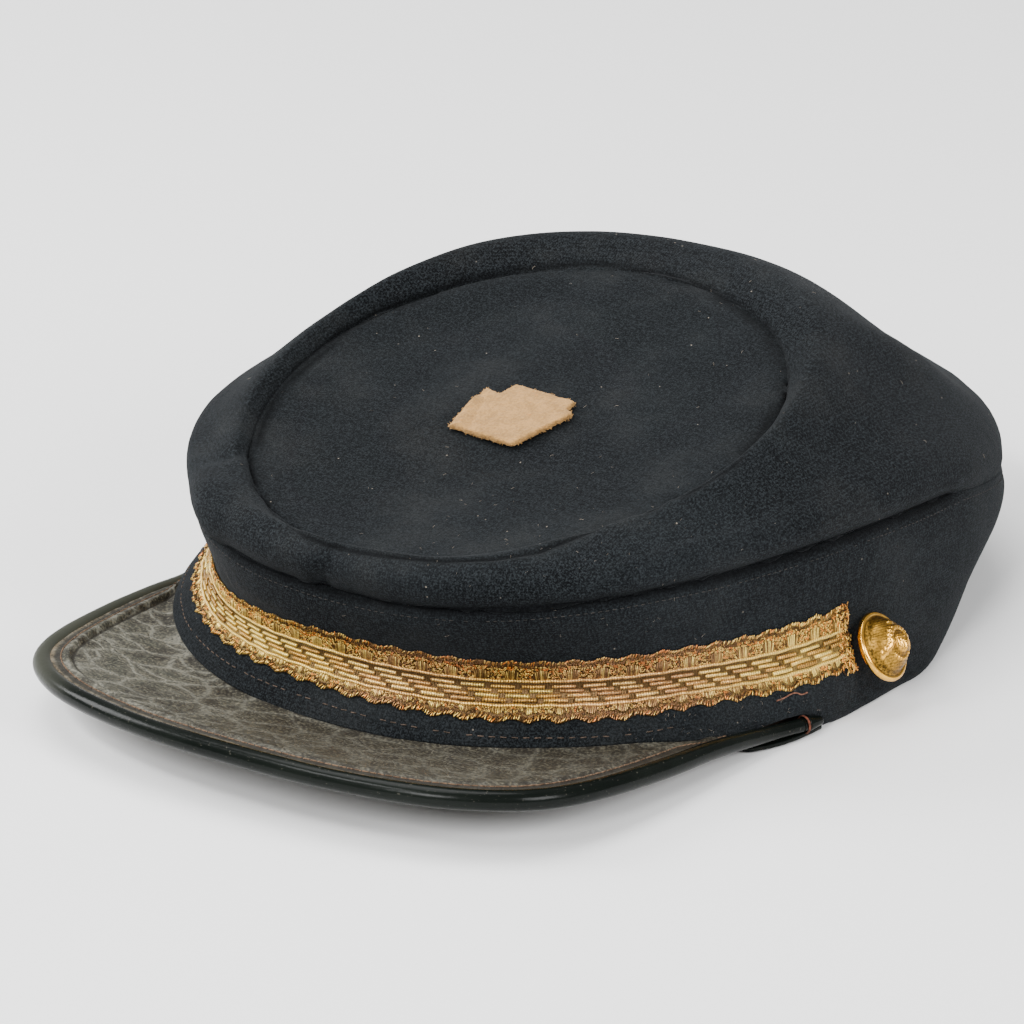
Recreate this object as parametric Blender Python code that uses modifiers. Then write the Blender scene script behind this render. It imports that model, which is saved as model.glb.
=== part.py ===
"""A soft wool kepi with a leather peak, a gold lace chin band and two brass side buttons.

The cap lies on a level surface, z = 0, on the lower edge of its band. The front
faces -Y, the wearer's left is +X. Lengths in the tables are millimetres; MM turns
them into metres. The cloth body is a loft through a few closed rings. Each ring is
a rounded oval that is longer at one end than at the other and that rises and falls
as it goes round, because the old cloth has slumped back from the front.
"""

import math

import bmesh
import bpy
from mathutils import Matrix, Vector

MM = 0.001

# ---- driving dimensions (mm) -------------------------------------------------

GAP = 0.35                # clear space kept between neighbouring pieces
ROUND = 72                # columns round the cloth body
PEAK_COLUMNS = 35
BINDING_POINTS = 51
LACE_COLUMNS = 31
FRONT_ANGLE = 270.0

BAND_CLOTH = 2.2          # wall of the band: cloth over a stiffener
CROWN_CLOTH = 1.8         # wall of the crown: cloth and backing
SWEAT_LEATHER = 1.2       # wall of the sweatband
SWEAT_INSET = 5.5         # from the band's face in to the sweatband's
FOOT = 3.0                # the edge of a wall that stands lower than this is set flat
PEAK_LEATHER = 2.4        # thickness of the peak
SEAM_TUCK = 1.5           # how far the cloth turns in at the seam of band and crown
SEAM_TUCK_REACH = 2.6     # height over which that turn dies away
SEAM_GAP = 0.55           # clear space between the two edges at that seam

PEAK_TOP = 6.4            # height of the peak's top face where it meets the band
BAND_FRONT_EDGE = 7.1     # lower edge of the band over the peak
LIFTED_SPAN = 71.0        # degrees each side of the front over which it is lifted
PEAK_CURL = 1.25          # exponent of the peak's upward curl, 1 is straight

BINDING_RADIUS = 2.9      # rolled leather binding on the peak's edge
BINDING_END_RADIUS = 2.0
BINDING_TAPER = 7         # points over which each tip thins

LACE_LOW = 12.0           # heights of the lace's two edges
LACE_HIGH = 25.0
LACE_THICK = 1.2
LACE_GAP = 0.75
LACE_END_ANGLE = -16.0    # where the lace stops short of the side button (degrees)

BUTTON_ANGLE = -9.6       # place of the side button round the band (degrees)
BUTTON_HEIGHT = 13.0
BUTTON_SHANK = 1.95
BUTTON_TURN = 11.5        # degrees that it has swung towards the back
BUTTON_TIP = 12.5         # degrees that it leans up from the band's slope

DISC_DIP = 1.5            # how far the crown's disc sags below its seam
PATCH_THICK = 1.4

# Rings of the cloth body, from the floor up. half_width is the reach to each side,
# front, side and back are Y positions, and the five heights are taken at the front,
# at the front corner, at the side, at the back corner and at the back. square_front
# and square_back are the exponents of the oval: 2 is an ellipse, more is squarer.
# press is how far the ring is pushed in at PRESS_ANGLE, where the cap has sagged.
RING_COLUMNS = ("half_width", "front", "side", "back",
                "z_front", "z_fore", "z_side", "z_rear", "z_back",
                "square_front", "square_back", "press")
PRESS_ANGLE = -156.0
PRESS_REACH = 27.0
RINGS = {
    "rim":      (84.7, -86.1, 14.0, 100.6, 0.0, 0.0, 0.0, 0.0, 0.0, 2.16, 1.95, 0.0),
    "junction": (85.3, -86.9, 14.0, 106.8, 6.8, 6.8, 6.8, 6.8, 6.8, 2.11, 2.08, 0.0),
    "hem":      (85.2, -86.0, 15.4, 109.0, 10.0, 10.0, 10.0, 9.8, 9.4, 2.10, 2.12, 0.8),
    "waist":    (84.0, -79.4, 25.9, 117.4, 20.9, 18.8, 20.4, 17.6, 13.8, 2.02, 2.35, 3.6),
    "seam":     (82.6, -83.8, 39.8, 119.1, 35.7, 39.6, 35.9, 24.6, 19.4, 2.45, 2.25, 4.5),
    "overhang": (80.7, -85.4, 18.9, 123.7, 43.4, 44.1, 45.1, 37.1, 35.2, 2.14, 2.22, -0.9),
    "shoulder": (74.2, -81.4, 8.0, 101.2, 47.0, 48.1, 51.6, 52.0, 50.2, 2.10, 2.09, 0.0),
    "crest":    (62.0, -78.4, -6.5, 65.8, 44.4, 50.0, 60.2, 71.0, 72.4, 2.03, 2.03, 0.0),
    "disc":     (57.8, -75.5, -8.7, 49.0, 42.6, 46.9, 56.2, 65.4, 69.7, 2.00, 1.99, 0.0),
}
HEIGHT_STATIONS = (-1.0, -0.7, 0.0, 0.7, 1.0)
BAND_RINGS = ("rim", "junction", "hem", "waist", "seam")
CROWN_RINGS = ("seam", "overhang", "shoulder", "crest", "disc")

# Levels of the mesh's rows, counted in rings.
BAND_LEVELS = (0.0, 1.5, 2.2, 2.7, 3.1)
SWEAT_LEVELS = (0.0, 1.3, 2.1, 2.5, 3.1)
CROWN_LEVELS = (0.0, 0.2, 0.5, 1.0, 1.5, 2.0, 2.4, 2.72, 3.0, 3.25, 3.6, 4.0)

# Dents in the crown: the place round it (degrees) and up it (0 the seam, 4 the disc),
# the depth, and the half widths over which the dent dies away.
DENT_COLUMNS = ("angle", "level", "depth", "half_angle", "half_level")
DENTS = {
    "front_join":     (-90.0, 1.1, 1.3, 3.5, 1.2),
    "beside_roll":    (6.0, 2.3, 1.8, 24.0, 0.45),
    "left_shoulder":  (-136.0, 2.2, 1.2, 10.0, 0.5),
    "back_slope":     (62.0, 1.6, 2.0, 18.0, 0.6),
}

# Half of the peak's edge, from its tip beside the band round to the front centre:
# x, y and z of the binding's centre line. The other half mirrors it.
PEAK_EDGE = (
    (81.0, -21.5, 2.6),
    (78.0, -33.0, 3.6),
    (75.9, -49.0, 6.0),
    (74.0, -68.0, 7.8),
    (70.6, -87.0, 9.7),
    (65.5, -100.0, 11.0),
    (56.5, -109.0, 11.9),
    (43.5, -115.6, 12.5),
    (22.5, -120.4, 13.0),
    (0.0, -121.4, 13.1),
)
PEAK_TIP_ANGLE = -30.0    # where the leather runs out beside the sweatband (degrees)

# Outline of the small felt patch on the disc, in its own plane: right and forward
# along the disc from the disc's middle.
PATCH_OUTLINE = (
    (-9.8, -11.9), (7.9, -13.3), (13.6, 2.7), (11.4, 3.7), (11.2, 7.3),
    (-5.1, 8.6), (-6.5, 3.8), (-10.8, 4.9),
)

# Profile of a side button, from the middle of its domed face round to its shank:
# distance from its axis and height above its back plate.
BUTTON_PROFILE = (
    (0.0, 6.5), (2.7, 5.95), (4.9, 4.65), (6.3, 2.9), (6.75, 1.75),
    (7.5, 1.8), (7.9, 1.1), (7.4, 0.3), (1.6, 0.0), (1.6, -BUTTON_SHANK),
    (0.0, -BUTTON_SHANK),
)

COLOURS = {
    "wool": ((0.010, 0.013, 0.021), 0.92, 0.0),
    "sweat leather": ((0.045, 0.024, 0.014), 0.60, 0.0),
    "peak leather": ((0.085, 0.083, 0.066), 0.62, 0.0),
    "binding leather": ((0.010, 0.013, 0.013), 0.22, 0.0),
    "gold lace": ((0.420, 0.270, 0.110), 0.45, 0.6),
    "gilt brass": ((0.640, 0.420, 0.150), 0.28, 1.0),
    "felt": ((0.430, 0.360, 0.310), 0.95, 0.0),
}


# ---- curves and surfaces -----------------------------------------------------

def through(stations, values, at):
    """The smooth curve through a value at each station, read at one place."""
    total = 0.0
    for i, here in enumerate(stations):
        weight = 1.0
        for j, other in enumerate(stations):
            if i != j:
                weight *= (at - other) / (here - other)
        total += values[i] * weight
    return total


def signed_power(value, power):
    return math.copysign(abs(value) ** power, value)


def ring_point(name, angle):
    """A point of a named ring; -90 degrees is the front, 0 the wearer's left side."""
    ring = dict(zip(RING_COLUMNS, RINGS[name]))
    sine, cosine = math.sin(math.radians(angle)), math.cos(math.radians(angle))
    square = ring["square_front"] if sine < 0 else ring["square_back"]
    reach = signed_power(sine, 2 / square)
    end = ring["side"] - ring["front"] if sine < 0 else ring["back"] - ring["side"]
    heights = [ring[column] for column in RING_COLUMNS if column.startswith("z_")]
    beside = ((angle - PRESS_ANGLE + 180) % 360 - 180) / PRESS_REACH
    press = ring["press"] * math.exp(-beside ** 2)
    return Vector((ring["half_width"] * signed_power(cosine, 2 / square) - press * cosine,
                   ring["side"] + end * reach - press * sine,
                   through(HEIGHT_STATIONS, heights, reach)))


def spline(points, level):
    """A Catmull-Rom curve through the points, read at a level counted in points."""
    last = len(points) - 1
    first = min(int(max(level, 0.0)), last - 1)
    u = level - first
    p1, p2 = points[first], points[first + 1]
    p0 = points[first - 1] if first > 0 else 2 * p1 - p2
    p3 = points[first + 2] if first + 2 <= last else 2 * p2 - p1
    return 0.5 * (2 * p1 + (p2 - p0) * u + (2 * p0 - 5 * p1 + 4 * p2 - p3) * u ** 2
                  + (3 * p1 - p0 - 3 * p2 + p3) * u ** 3)


def loft_point(names, level, angle):
    return spline([ring_point(name, angle) for name in names], level)


def loft_normal(names, level, angle):
    """The outward direction of the cloth at a level and angle."""
    step = 0.01
    along = loft_point(names, level, angle + 1) - loft_point(names, level, angle - 1)
    up = loft_point(names, level + step, angle) - loft_point(names, level - step, angle)
    return along.cross(up).normalized()


def offset_point(names, level, angle, distance):
    """A point held a distance outside the cloth, or inside it where negative."""
    return loft_point(names, level, angle) + distance * loft_normal(names, level, angle)


def band_level(height, angle):
    """The level at which the band reaches a height, found by halving."""
    low, high = 0.0, len(BAND_RINGS) - 1.0
    for _ in range(24):
        middle = (low + high) / 2
        if loft_point(BAND_RINGS, middle, angle).z < height:
            low = middle
        else:
            high = middle
    return low


def inward_point(names, level, angle, distance):
    """A point of the cloth moved level and inward."""
    outward = loft_normal(names, level, angle)
    outward.z = 0.0
    return loft_point(names, level, angle) - outward.normalized() * distance


def tucked_point(names, level, angle):
    """A point of the cloth, drawn inward near the seam of band and crown."""
    rise = loft_point(names, level, angle).z - ring_point("seam", angle).z
    tuck = SEAM_TUCK * math.exp(-(rise / SEAM_TUCK_REACH) ** 2)
    return inward_point(names, level, angle, tuck)


def dent_depth(level, angle):
    depth = 0.0
    for row in DENTS.values():
        dent = dict(zip(DENT_COLUMNS, row))
        round_it = (angle - dent["angle"] + 180.0) % 360.0 - 180.0
        fall = ((round_it / dent["half_angle"]) ** 2
                + ((level - dent["level"]) / dent["half_level"]) ** 2)
        depth += dent["depth"] * math.exp(-fall)
    return depth


def round_angles():
    return [360.0 * column / ROUND for column in range(ROUND)]


# ---- making objects ----------------------------------------------------------

def new_material(name):
    colour, roughness, metallic = COLOURS[name]
    material = bpy.data.materials.new(name)
    material.use_nodes = True
    shader = material.node_tree.nodes["Principled BSDF"]
    shader.inputs["Base Color"].default_value = (*colour, 1.0)
    shader.inputs["Roughness"].default_value = roughness
    shader.inputs["Metallic"].default_value = metallic
    return material


def finish(obj, cap, material):
    for owner in list(obj.users_collection):
        owner.objects.unlink(obj)
    cap.objects.link(obj)
    obj.data.materials.clear()
    obj.data.materials.append(new_material(material))
    return obj


def loft_mesh(name, rows, closed):
    """A sheet through rows of points (mm), joined end to end where it is closed."""
    mesh = bpy.data.meshes.new(name)
    sheet = bmesh.new()
    grid = [[sheet.verts.new(point * MM) for point in row] for row in rows]
    columns = len(rows[0])
    for lower, upper in zip(grid, grid[1:]):
        for column in range(columns if closed else columns - 1):
            following = (column + 1) % columns
            sheet.faces.new((lower[column], lower[following],
                             upper[following], upper[column]))
    sheet.to_mesh(mesh)
    sheet.free()
    mesh.shade_smooth()
    return bpy.data.objects.new(name, mesh)


def thicken(obj, thickness):
    """Give a sheet its wall, on the inner side of its faces."""
    wall = obj.modifiers.new("wall", "SOLIDIFY")
    wall.thickness = thickness * MM
    wall.offset = -1.0
    return obj


def stand_flat(obj, cap):
    """Apply the wall and set its lowest edge flat on the floor."""
    cap.objects.link(obj)
    bpy.context.view_layer.objects.active = obj
    bpy.ops.object.modifier_apply(modifier="wall")
    for vertex in obj.data.vertices:
        if vertex.co.z < FOOT * MM:
            vertex.co.z = 0.0
    return obj


# ---- the pieces --------------------------------------------------------------

def band(cap):
    """The upright band. Over the peak its lower edge is lifted clear of the leather."""
    seam = len(BAND_RINGS) - 1.0
    rows = []
    for level in BAND_LEVELS + (seam - 0.4, seam - 0.16, seam):
        row = []
        for angle in round_angles():
            over_peak = abs(angle - FRONT_ANGLE) < LIFTED_SPAN
            lift = band_level(BAND_FRONT_EDGE, angle) if over_peak else 0.0
            point = tucked_point(BAND_RINGS, max(level, lift), angle)
            row.append(point)
        rows.append(row)
    piece = thicken(loft_mesh("band", rows, True), BAND_CLOTH)
    return finish(stand_flat(piece, cap), cap, "wool")


def sweatband(cap):
    """The leather strip inside the band. Its lower edge also carries the front."""
    rows = [[inward_point(BAND_RINGS, level, angle, SWEAT_INSET)
             for angle in round_angles()] for level in SWEAT_LEVELS]
    for point in rows[0]:
        point.z = 0.0
    piece = thicken(loft_mesh("sweatband", rows, True), SWEAT_LEATHER)
    return finish(stand_flat(piece, cap), cap, "sweat leather")


def crown_side(cap):
    """The soft side of the crown, over its rolled rim and down to the disc's seam."""
    rows = []
    for level in CROWN_LEVELS:
        row = []
        for angle in round_angles():
            point = tucked_point(CROWN_RINGS, level, angle)
            point -= loft_normal(CROWN_RINGS, level, angle) * dent_depth(level, angle)
            point.z += SEAM_GAP * max(1 - level, 0)
            row.append(point)
        rows.append(row)
    piece = loft_mesh("crown_side", rows, True)
    return finish(thicken(piece, CROWN_CLOTH), cap, "wool")


def disc_frame():
    """The disc's middle and its right, forward and upward directions."""
    front, back = ring_point("disc", -90), ring_point("disc", 90)
    middle = (front + back) / 2
    backward = (back - front).normalized()
    right = Vector((1.0, 0.0, 0.0))
    return middle, right, backward, right.cross(backward)


def crown_disc(cap):
    """The flat top of the crown, sunk a little inside the roll."""
    middle, _, _, upward = disc_frame()
    sag_at = {1.0: 0.0, 0.86: 0.6, 0.6: 1.0}
    rows = []
    for share, sag in sag_at.items():
        row = []
        for angle in round_angles():
            edge = ring_point("disc", angle)
            out = (edge - middle).normalized()
            reach = (edge - middle).length - GAP
            row.append(middle + out * reach * share - upward * DISC_DIP * sag)
        rows.append(row)
    piece = loft_mesh("crown_disc", rows, True)
    sheet = bmesh.new()
    sheet.from_mesh(piece.data)
    sheet.verts.ensure_lookup_table()
    inner = [sheet.verts[(len(rows) - 1) * ROUND + column] for column in range(ROUND)]
    centre = sheet.verts.new((middle - upward * DISC_DIP) * MM)
    for column in range(ROUND):
        sheet.faces.new((inner[column], inner[(column + 1) % ROUND], centre))
    sheet.to_mesh(piece.data)
    sheet.free()
    piece.data.shade_smooth()
    return finish(thicken(piece, CROWN_CLOTH), cap, "wool")


def edge_points(inset):
    """The peak's edge from the wearer's left tip to the right, moved inward."""
    half = [Vector(point) for point in PEAK_EDGE]
    mirrored = [Vector((-point.x, point.y, point.z)) for point in half[-2::-1]]
    whole = half + mirrored
    moved = []
    for i, point in enumerate(whole):
        before, after = whole[max(i - 1, 0)], whole[min(i + 1, len(whole) - 1)]
        along = (after - before).normalized()
        inward = along.cross(Vector((0, 0, 1))).normalized()
        moved.append(point + inward * inset)
    return moved


def by_length(points, count):
    """Points spaced evenly by length along the smooth curve through the given ones."""
    fine = [spline(points, (len(points) - 1) * i / 400) for i in range(401)]
    run = [0.0]
    for before, after in zip(fine, fine[1:]):
        run.append(run[-1] + (after - before).length)
    spaced, j = [], 0
    for i in range(count):
        goal = run[-1] * i / (count - 1)
        while j < 399 and run[j + 1] < goal:
            j += 1
        share = (goal - run[j]) / (run[j + 1] - run[j])
        spaced.append(fine[j].lerp(fine[j + 1], share))
    return spaced


def peak(cap):
    """The leather peak, ruled from the sweatband's face out to the binding."""
    start, stop = PEAK_TIP_ANGLE, -180 - PEAK_TIP_ANGLE
    angles = [start + (stop - start) * i / PEAK_COLUMNS for i in range(PEAK_COLUMNS + 1)]
    root = [inward_point(BAND_RINGS, 1.0, angle, BAND_CLOTH) for angle in angles]
    rim = edge_points(BINDING_RADIUS + 2 * GAP)[1:-1]
    inner, outer = by_length(root, PEAK_COLUMNS), by_length(rim, PEAK_COLUMNS)
    rows = []
    for share in (0.0, 0.25, 0.5, 0.75, 1.0):
        row = []
        for start, stop in zip(inner, outer):
            stop_top = stop.z + PEAK_LEATHER / 2
            start_top = min(PEAK_TOP, stop_top)
            point = start.lerp(stop, share)
            point.z = start_top + (stop_top - start_top) * share ** PEAK_CURL
            row.append(point)
        rows.append(row)
    piece = loft_mesh("peak", rows, False)
    return finish(thicken(piece, PEAK_LEATHER), cap, "peak leather")


def peak_binding(cap):
    """The rolled binding on the peak's edge, thinner at its two tips."""
    curve = bpy.data.curves.new("peak_binding", "CURVE")
    curve.dimensions = "3D"
    curve.bevel_depth = BINDING_RADIUS * MM
    curve.bevel_resolution = 2
    curve.use_fill_caps = True
    points = by_length(edge_points(0.0), BINDING_POINTS)
    line = curve.splines.new("POLY")
    line.points.add(len(points) - 1)
    end_share = BINDING_END_RADIUS / BINDING_RADIUS
    for i, point in enumerate(points):
        line.points[i].co = (*(point * MM), 1.0)
        from_tip = min(i, len(points) - 1 - i) / BINDING_TAPER
        line.points[i].radius = end_share + (1 - end_share) * min(from_tip, 1.0)
    return finish(bpy.data.objects.new("peak_binding", curve), cap, "binding leather")


def lace_strap(cap):
    """The woven gold lace that lies round the front of the band."""
    start, stop = LACE_END_ANGLE, -180 - LACE_END_ANGLE
    angles = [start + (stop - start) * i / (LACE_COLUMNS - 1) for i in range(LACE_COLUMNS)]
    rows = []
    for share in (0.0, 0.34, 0.67, 1.0):
        height = LACE_LOW + (LACE_HIGH - LACE_LOW) * share
        rows.append([offset_point(BAND_RINGS, band_level(height, angle), angle,
                                  LACE_GAP + LACE_THICK) for angle in angles])
    piece = loft_mesh("lace_strap", rows[::-1], False)
    return finish(thicken(piece, LACE_THICK), cap, "gold lace")


def side_button(cap, name, side):
    """A domed brass button hanging off the band on its shank."""
    mesh = bpy.data.meshes.new(name)
    profile = bmesh.new()
    verts = [profile.verts.new((radius * MM, 0.0, height * MM))
             for radius, height in BUTTON_PROFILE]
    for before, after in zip(verts, verts[1:]):
        profile.edges.new((before, after))
    profile.to_mesh(mesh)
    profile.free()
    button = bpy.data.objects.new(name, mesh)
    turn = button.modifiers.new("turn", "SCREW")
    turn.angle = math.tau
    turn.steps = turn.render_steps = 18
    turn.use_merge_vertices = True
    turn.merge_threshold = 0.00005
    turn.use_smooth_shade = True
    angle = BUTTON_ANGLE if side > 0 else -180.0 - BUTTON_ANGLE
    level = band_level(BUTTON_HEIGHT, angle)
    outward = loft_normal(BAND_RINGS, level, angle)
    seat = loft_point(BAND_RINGS, level, angle)
    facing = Matrix.Rotation(math.radians(side * BUTTON_TURN), 3, "Z") @ outward
    rise = facing.cross(Vector((0.0, 0.0, 1.0))).normalized()
    facing = Matrix.Rotation(math.radians(BUTTON_TIP), 3, rise) @ facing
    place = seat + outward * (2 * GAP + BUTTON_SHANK)
    button.location = place * MM
    button.rotation_euler = facing.to_track_quat("Z", "Y").to_euler()
    return finish(button, cap, "gilt brass")


def felt_patch(cap):
    """A small patch of felt lying on the disc."""
    curve = bpy.data.curves.new("felt_patch", "CURVE")
    curve.dimensions = "2D"
    curve.fill_mode = "BOTH"
    curve.extrude = PATCH_THICK / 2 * MM
    outline = curve.splines.new("POLY")
    outline.points.add(len(PATCH_OUTLINE) - 1)
    for point, (right, back) in zip(outline.points, PATCH_OUTLINE):
        point.co = (right * MM, back * MM, 0.0, 1.0)
    outline.use_cyclic_u = True
    patch = bpy.data.objects.new("felt_patch", curve)
    middle, right, backward, upward = disc_frame()
    lift = GAP + PATCH_THICK / 2 - DISC_DIP
    patch.location = (middle + upward * lift) * MM
    turn = Matrix((right, backward, upward)).transposed()
    patch.rotation_euler = turn.to_euler()
    return finish(patch, cap, "felt")


def build():
    for obj in list(bpy.data.objects):
        bpy.data.objects.remove(obj, do_unlink=True)
    cap = bpy.data.collections.new("kepi_cap")
    bpy.context.scene.collection.children.link(cap)
    band(cap)
    sweatband(cap)
    crown_side(cap)
    crown_disc(cap)
    peak(cap)
    peak_binding(cap)
    lace_strap(cap)
    side_button(cap, "button_left", 1)
    side_button(cap, "button_right", -1)
    felt_patch(cap)


build()
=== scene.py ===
"""Dresses the kepi: wool cloth, crazed peak, patent binding, gold lace and buttons.

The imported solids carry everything. The cloth, leather and binding are smoothed
copies of them, and the lace, stitches, buttons and lint are laid on those copies.
Lengths in the tables are millimetres unless a comment says otherwise.
"""
import math
import random

import bpy
import numpy as np
from mathutils import Matrix, Vector, noise
from mathutils.bvhtree import BVHTree
from mathutils.kdtree import KDTree


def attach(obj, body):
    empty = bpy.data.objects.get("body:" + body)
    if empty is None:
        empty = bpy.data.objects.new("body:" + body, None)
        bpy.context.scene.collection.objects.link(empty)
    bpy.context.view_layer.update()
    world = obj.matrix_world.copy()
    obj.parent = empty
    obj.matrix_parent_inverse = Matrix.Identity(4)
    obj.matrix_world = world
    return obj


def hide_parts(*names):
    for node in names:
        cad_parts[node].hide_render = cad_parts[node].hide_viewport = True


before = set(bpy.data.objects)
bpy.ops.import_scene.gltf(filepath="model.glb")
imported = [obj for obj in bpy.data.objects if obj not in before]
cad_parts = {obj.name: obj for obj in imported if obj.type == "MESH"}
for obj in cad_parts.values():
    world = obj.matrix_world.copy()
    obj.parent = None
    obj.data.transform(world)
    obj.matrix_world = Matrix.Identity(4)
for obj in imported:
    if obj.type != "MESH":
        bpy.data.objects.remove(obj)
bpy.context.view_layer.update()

MM = 0.001
PHOTO_WIDTH = 1024
BAND_MIDDLE = 14.0                    # how far back the middle of the band's plan lies

# ---- the photograph's camera ---------------------------------------------------------

VIEW_ROUND = math.radians(33.977)     # camera's turn to the wearer's left of the front
VIEW_UP = math.radians(21.509)
VIEW_AIM = Vector((-3.907, -8.482, 28.826)) * MM
VIEW_FAR = 1099.04 * MM
LENS_PIXELS = 4892.79
SENSOR = 36.0

# ---- cloth ---------------------------------------------------------------------------

# Folds and marks in the crown's cloth. Each runs between two pixels of the
# photograph and is laid on the cloth under them. depth is how far it sinks, or
# rises where negative, and width is its half width.
FOLD_COLUMNS = ("x1", "y1", "x2", "y2", "width", "depth")
CROWN_FOLDS = {
    "front join, top": (333, 549, 319, 572, 1.2, 1.3),
    "front join, bottom": (319, 572, 324, 592, 1.3, 1.0),
    "beside the join": (312, 556, 302, 590, 2.6, -0.7),
    "roll's front valley": (352, 566, 470, 574, 3.4, 0.5),
    "left shoulder": (216, 458, 248, 448, 2.2, 0.9),
    "left lip": (199, 484, 214, 540, 5.5, -2.2),
    "long side valley": (560, 556, 760, 505, 6.0, 0.7),
    "side ridge": (600, 582, 800, 528, 5.0, -0.6),
    "crest streak": (812, 290, 846, 346, 6.0, -0.6),
    "hollow under it": (800, 400, 842, 436, 11.0, 0.7),
    "rear edge": (856, 334, 946, 384, 9.0, -2.6),
    "rear ridge": (860, 470, 985, 452, 6.0, -0.7),
    "top edge crease": (680, 243, 735, 262, 4.0, 0.5),
}
# The seam round the disc, in pixels of the photograph, and how wide and how deep the
# crease along it is.
DISC_SEAM = ((250, 458), (257, 489), (278, 517), (309, 537), (340, 548), (384, 555),
             (441, 560), (497, 558), (539, 551), (589, 531), (648, 510), (692, 490),
             (736, 463), (784, 399), (787, 375), (780, 352), (765, 328), (736, 305),
             (707, 289), (663, 273), (619, 265), (581, 263), (525, 269), (469, 280),
             (424, 296), (384, 310), (340, 335), (300, 369), (269, 408), (250, 458))
DISC_CREASE = (0.9, 0.7)
BAND_CREASE = (1.5, 0.45)             # the same for the seam of band and crown
DISC_FOLDS = {
    "centre sag": (420, 480, 620, 450, 16.0, 0.8),
    "front ripple": (380, 520, 560, 520, 5.0, -0.35),
    "left ripple": (300, 470, 380, 400, 5.0, -0.35),
    "back ripple": (560, 300, 700, 340, 7.0, -0.4),
}
BAND_FOLDS = {
    "left bulge": (206, 566, 330, 634, 2.4, -0.7),
    "under the lace": (560, 738, 760, 705, 2.0, 0.3),
    "behind the button": (905, 690, 938, 640, 7.0, -1.0),
}

# Two rows of stitching run round the band, one over its hem and one under its seam.
HEM_STITCH = (2.42, 1.25, 0.12)       # pitch, length and radius
SEAM_STITCH = (1.58, 0.75, 0.09)
HEM_WORN, SEAM_WORN = 0.12, 0.10      # share of the stitches that have worn away
HEM_ROW_HEIGHT = 9.4
HEM_ROW_ANGLES = (-45.0, -172.0)      # degrees round the band, with its front at -90
SEAM_ROW_DROP = 2.6                   # from the band's top edge down to the row
SEAM_CREASE_DROP = 0.4                # and down to the crease of the seam

# ---- felt patch ----------------------------------------------------------------------

FELT_FOLD = ((-10.6, -14.0), (-7.0, -25.0))   # the left edge is folded along this line
FUZZ_HAIRS = 420
FUZZ_HAIR = (0.85, 0.045)             # length and radius

# ---- gold lace -----------------------------------------------------------------------

LACE_ENDS = (-13.3, -166.5)           # angles round the band
LACE_EDGES = (11.1, 24.9)             # heights of its lower and upper edge
LACE_WIDTH = 13.8                     # across the lace, measured on its slope
# The hand-sewn lace wanders on the band: place along it, and how much higher than
# LACE_EDGES its lower and its upper edge run there.
LACE_SWAY = np.array((
    (0, -0.9, 0.6), (20, -1.4, 0.4), (30, -0.8, 0.5), (45, -0.4, 0.9), (60, -0.4, 0.7),
    (75, -0.1, 0.4), (85, 0.0, 0.4), (95, 0.4, 0.8), (103, 0.8, 1.2), (112, 1.1, 1.4),
    (120, 1.4, 1.6), (128, 1.5, 1.3), (135, 1.4, 0.5), (142, 1.3, -0.2),
    (150, 1.2, -1.2), (160, 1.0, -2.0), (175, 0.7, -2.0), (190, 0.4, -1.2),
    (235, 0.0, 0.0)))
RAILS = {3.25: 0.36, 8.00: 0.38}      # place across the lace: radius
BAR_ROWS = (4.08, 4.90, 5.76, 6.72)
BAR_PITCH = 6.42
BAR_LENGTH = 4.75
BAR_SHIFT = 1.6
BAR_START = -0.48
BAR_RADIUS = 0.41
SCALLOP_PITCH = 6.42
SCALLOP_START = 2.56
# Each scallop has a block of straight rays that stands on its rail, small loops round
# that, and a fence of leaning wires along its edge. Columns: the block's foot across
# the lace, which way it stands, its reach, the middle of the fence, how far the
# scallop goes, and how far the scallops are moved along.
EDGE_COLUMNS = ("foot", "way", "reach", "fence", "limit", "shift")
EDGES = {
    "upper": (8.25, 1, 2.45, 12.85, 13.0, 0.0),
    "lower": (3.05, -1, 1.25, 0.92, 0.45, 2.42),
}
EDGE_DIP = 0.65                       # how far the edge dips between its scallops
BLOCK_HALF = 1.45                     # half the width of a block of rays
RAYS = 8
RAY_PITCH = 0.36
LOOP_PITCH = 0.50
LOOP_SIZE = (0.200, 0.090)            # radius of a loop, and of its wire
FENCE_WIRE = (0.80, 0.125)            # length and radius
FENCE_PITCH = 0.50
FENCE_LEAN = 122.0
FRAYED_WIRE = (1.20, 0.13)
WINDING = 0.56                        # from one turn of a wound wire to the next
PAINTED_SHADE_MIDDLE = 75.0                    # place along the lace where its painted shade is deepest
PAINTED_SHADE_FAR_END = (215.0, 140.0)         # painted shade full at the first place, painted light full at the second
END_WIRES = 130                       # in each cluster of loose wires at the ends

# ---- peak ----------------------------------------------------------------------------

BEAD_OFFSET = 5.3                     # from the roll's middle to the embossed bead
BEAD = (0.40, 0.55)                   # its height and half width
GROOVE = (0.40, 0.45)                 # depth and half width of a groove beside it
GROOVE_OFFSET = 1.10                  # from the bead's middle to a groove's
PEAK_STITCH_PITCH = 1.75
PEAK_STITCH_INSET = 3.75              # from the roll's middle
ROLL_SHARE = 0.78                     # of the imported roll's thickness
TIP_DROOP = 2.3                       # how far leather and cloth go down at the tips
TIP_REACH = (-60.0, -42.0, -25.0, -17.0)  # where that begins, is full, and ends again
TIP_HEIGHT = 17.0                     # the band goes down below this height
TIP_FADE = (8.0, 4.0)                 # over these heights at its top and at the floor
# Outline of the leather that shows flat on the floor under the roll's end, in pixels.
TAIL_OUTLINE = ((742, 750), (752, 750.5), (770, 747), (785, 743), (800, 737.5),
                (812, 732), (822, 727), (818, 717), (790, 728), (760, 738), (742, 745))

# ---- buttons -------------------------------------------------------------------------

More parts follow.
